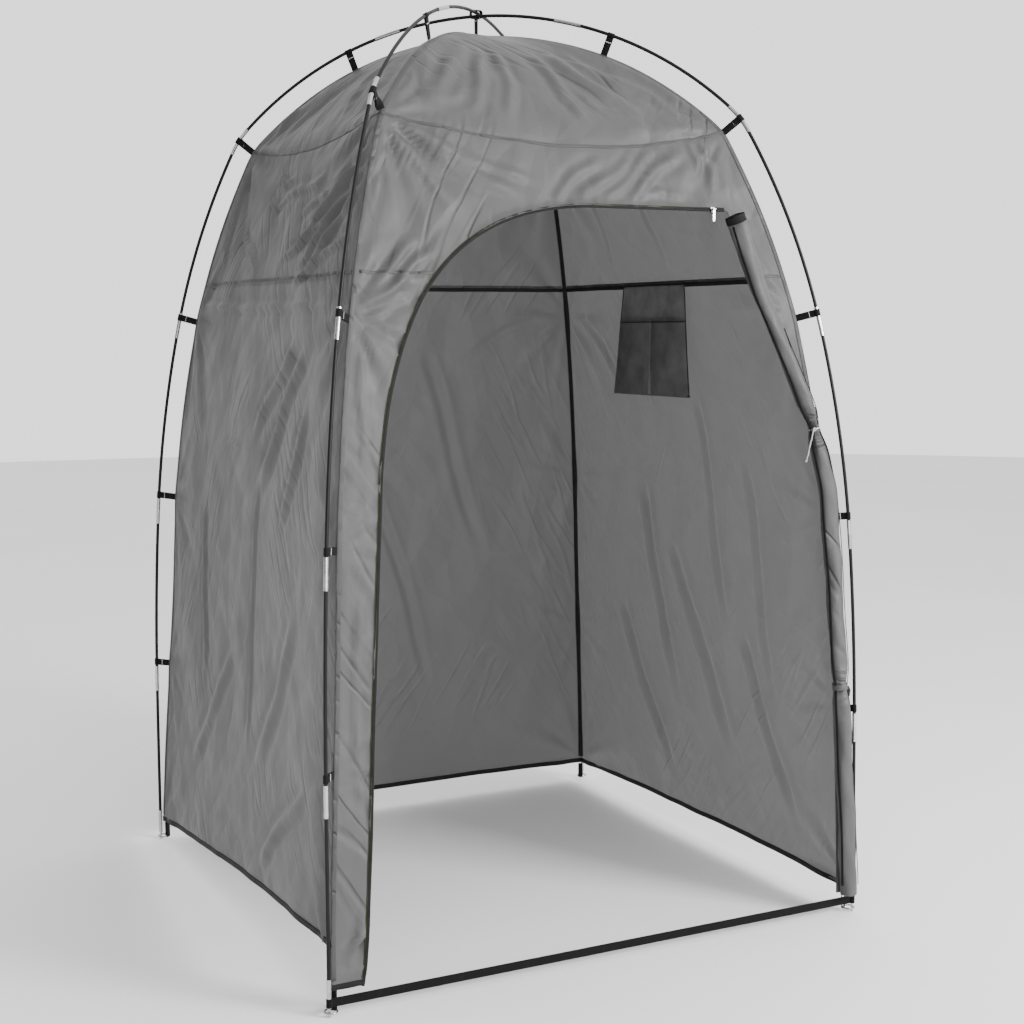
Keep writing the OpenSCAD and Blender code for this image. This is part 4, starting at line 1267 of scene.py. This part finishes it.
def back_x(v, w, y, z):
    waves = 0.0016 * math.sin(9 * v + 2) + 0.002 * math.sin(3 * w + 5 * v)
    return back_high.x - 0.0006 - waves * (1 - w)


org_back = organiser_sheet("organiser_back_mesh", 0, 1, back_low.z + 0.001, back_high.z, back_x, NET, 40, 38)


def pocket_x(v, w, y, z):
    """A pocket's front: sewn at its sides and bottom, bellying out and loose at its rim."""
    belly = (math.sin(math.pi * v) ** 0.6) * (0.25 + 0.75 * smooth(w / 0.55)) * (1 - 0.25 * w)
    wrinkle = 0.0011 * math.sin(11 * v + 6 * w) + 0.0009 * math.sin(5 * v - 9 * w)
    return back_low.x - 0.0012 - 0.0125 * belly - wrinkle * belly


rim = float(pocket_high.z)
low = float(pocket_low.z) + 0.001
at_split = ((SPLIT - ORG_TOP_Y[0] + NEAR_FLARE * 0.6)
            / (ORG_TOP_Y[1] - ORG_TOP_Y[0] + (NEAR_FLARE + FAR_FLARE) * 0.6))
POCKETS = ((POCKET_EDGES[0], at_split), (at_split, POCKET_EDGES[1]))
pockets = [organiser_sheet(name, *edges, low, rim, pocket_x, NET_DARK, 28, 30)
           for name, edges in zip(("organiser_pocket_near", "organiser_pocket_far"), POCKETS)]
trim = Parts()


def trim_line(points, width=0.0028, mat=0):
    points = resample(points, 0.008)
    n = np.tile([-1.0, 0, 0], (len(points), 1))
    trim.band(points, np.cross(n, heading(points)), n, width, 0.0012, mat)


def back_edge(v, z):
    w = (z - back_low.z) / (back_high.z - back_low.z)
    y = organiser_y(v, z)
    return (back_x(v, w, y, z) - 0.0004, y, z)


for v in (0.01, 0.99):
    trim_line([back_edge(v, z) for z in np.linspace(back_low.z + 0.003, back_high.z - 0.004, 30)])
trim_line([back_edge(v, back_high.z - 0.004) for v in np.linspace(0.0, 1.0, 30)], 0.006)
trim_line([back_edge(v, back_low.z + 0.004) for v in np.linspace(0.0, 1.0, 30)])
for a, b in POCKETS:
    trim_line([(pocket_x((v - a) / (b - a), 1.0, 0, rim) - 0.0003, organiser_y(v, rim), rim - 0.004)
               for v in np.linspace(a, b, 26)], 0.0030)
trim_line([(back_low.x - 0.0020, organiser_y(at_split, z), z)
           for z in np.linspace(low + 0.002, rim - 0.002, 20)], 0.012, 1)
trim_obj = trim.build("organiser_trim", [BINDING, NET_EDGE], "organiser")
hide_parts("organiser_back")
for pocket in pockets:
    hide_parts("organiser_pockets")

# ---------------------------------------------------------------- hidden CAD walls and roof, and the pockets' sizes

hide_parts(*[n for n in nodes if n.endswith(("_wall_lower", "_wall_upper", "_panel"))
                      or n in ("roof_front", "roof_right", "roof_back", "roof_left")])
for piece, (a, b) in zip(pockets, POCKETS):
    # 20 mm of fullness across and a 5 mm turning
    w, h = organiser_y(b, low) - organiser_y(a, low) + 0.02, rim - low + 0.005

# ---------------------------------------------------------------- stage


FLOOR_R = 14
ring = [(FLOOR_R * math.cos(a), FLOOR_R * math.sin(a), -0.0005) for a in 2 * math.pi * np.arange(64) / 64]
mesh = bpy.data.meshes.new("floor")
mesh.from_pydata(ring, [], [list(range(len(ring)))])
look = Look("floor_paint", Specular_IOR_Level=0.2)
look.bump(look.noise(40, 3), 0.0004, 0.2)
tones = look.colours(look.noise(0.6, 2), (0.3, grey(0.86)), (0.7, grey(0.90)))
mesh.materials.append(look.done(tones, 0.85))
floor = bpy.data.objects.new("floor", mesh)
scene.collection.objects.link(floor)


def area_light(name, at, to, size, power):
    light = bpy.data.lights.new(name, "AREA")
    light.shape = "SQUARE"
    light.size = size
    light.energy = power
    obj = bpy.data.objects.new(name, light)
    obj.location = at
    obj.rotation_euler = (Vector(to) - Vector(at)).to_track_quat("-Z", "Y").to_euler()
    scene.collection.objects.link(obj)


area_light("key", (3.1, -4.5, 2.7), (0, 0, 1.0), 1.7, 440)
area_light("fill", (-0.4, -4.6, 1.5), (0, 0, 1.0), 1.5, 75)
area_light("rim", (-4.4, 2.2, 3.8), (0, 0, 1.2), 1.0, 38)
world = bpy.data.worlds.new("world")
scene.world = world
world.use_nodes = True
t = world.node_tree
# a white room, darker to the left, so that the left wall falls into shade
coords, parts_xyz, strength = (t.nodes.new("ShaderNode" + k) for k in ("TexCoord", "SeparateXYZ", "MapRange"))
t.links.new(coords.outputs["Generated"], parts_xyz.inputs[0])
t.links.new(parts_xyz.outputs["X"], strength.inputs["Value"])
for key, v in (("From Min", -1.0), ("From Max", 0.1), ("To Min", 0.20), ("To Max", 1.75)):
    strength.inputs[key].default_value = v
t.links.new(strength.outputs[0], t.nodes["Background"].inputs[1])
t.nodes["Background"].inputs[0].default_value = (1, 1, 1, 1)
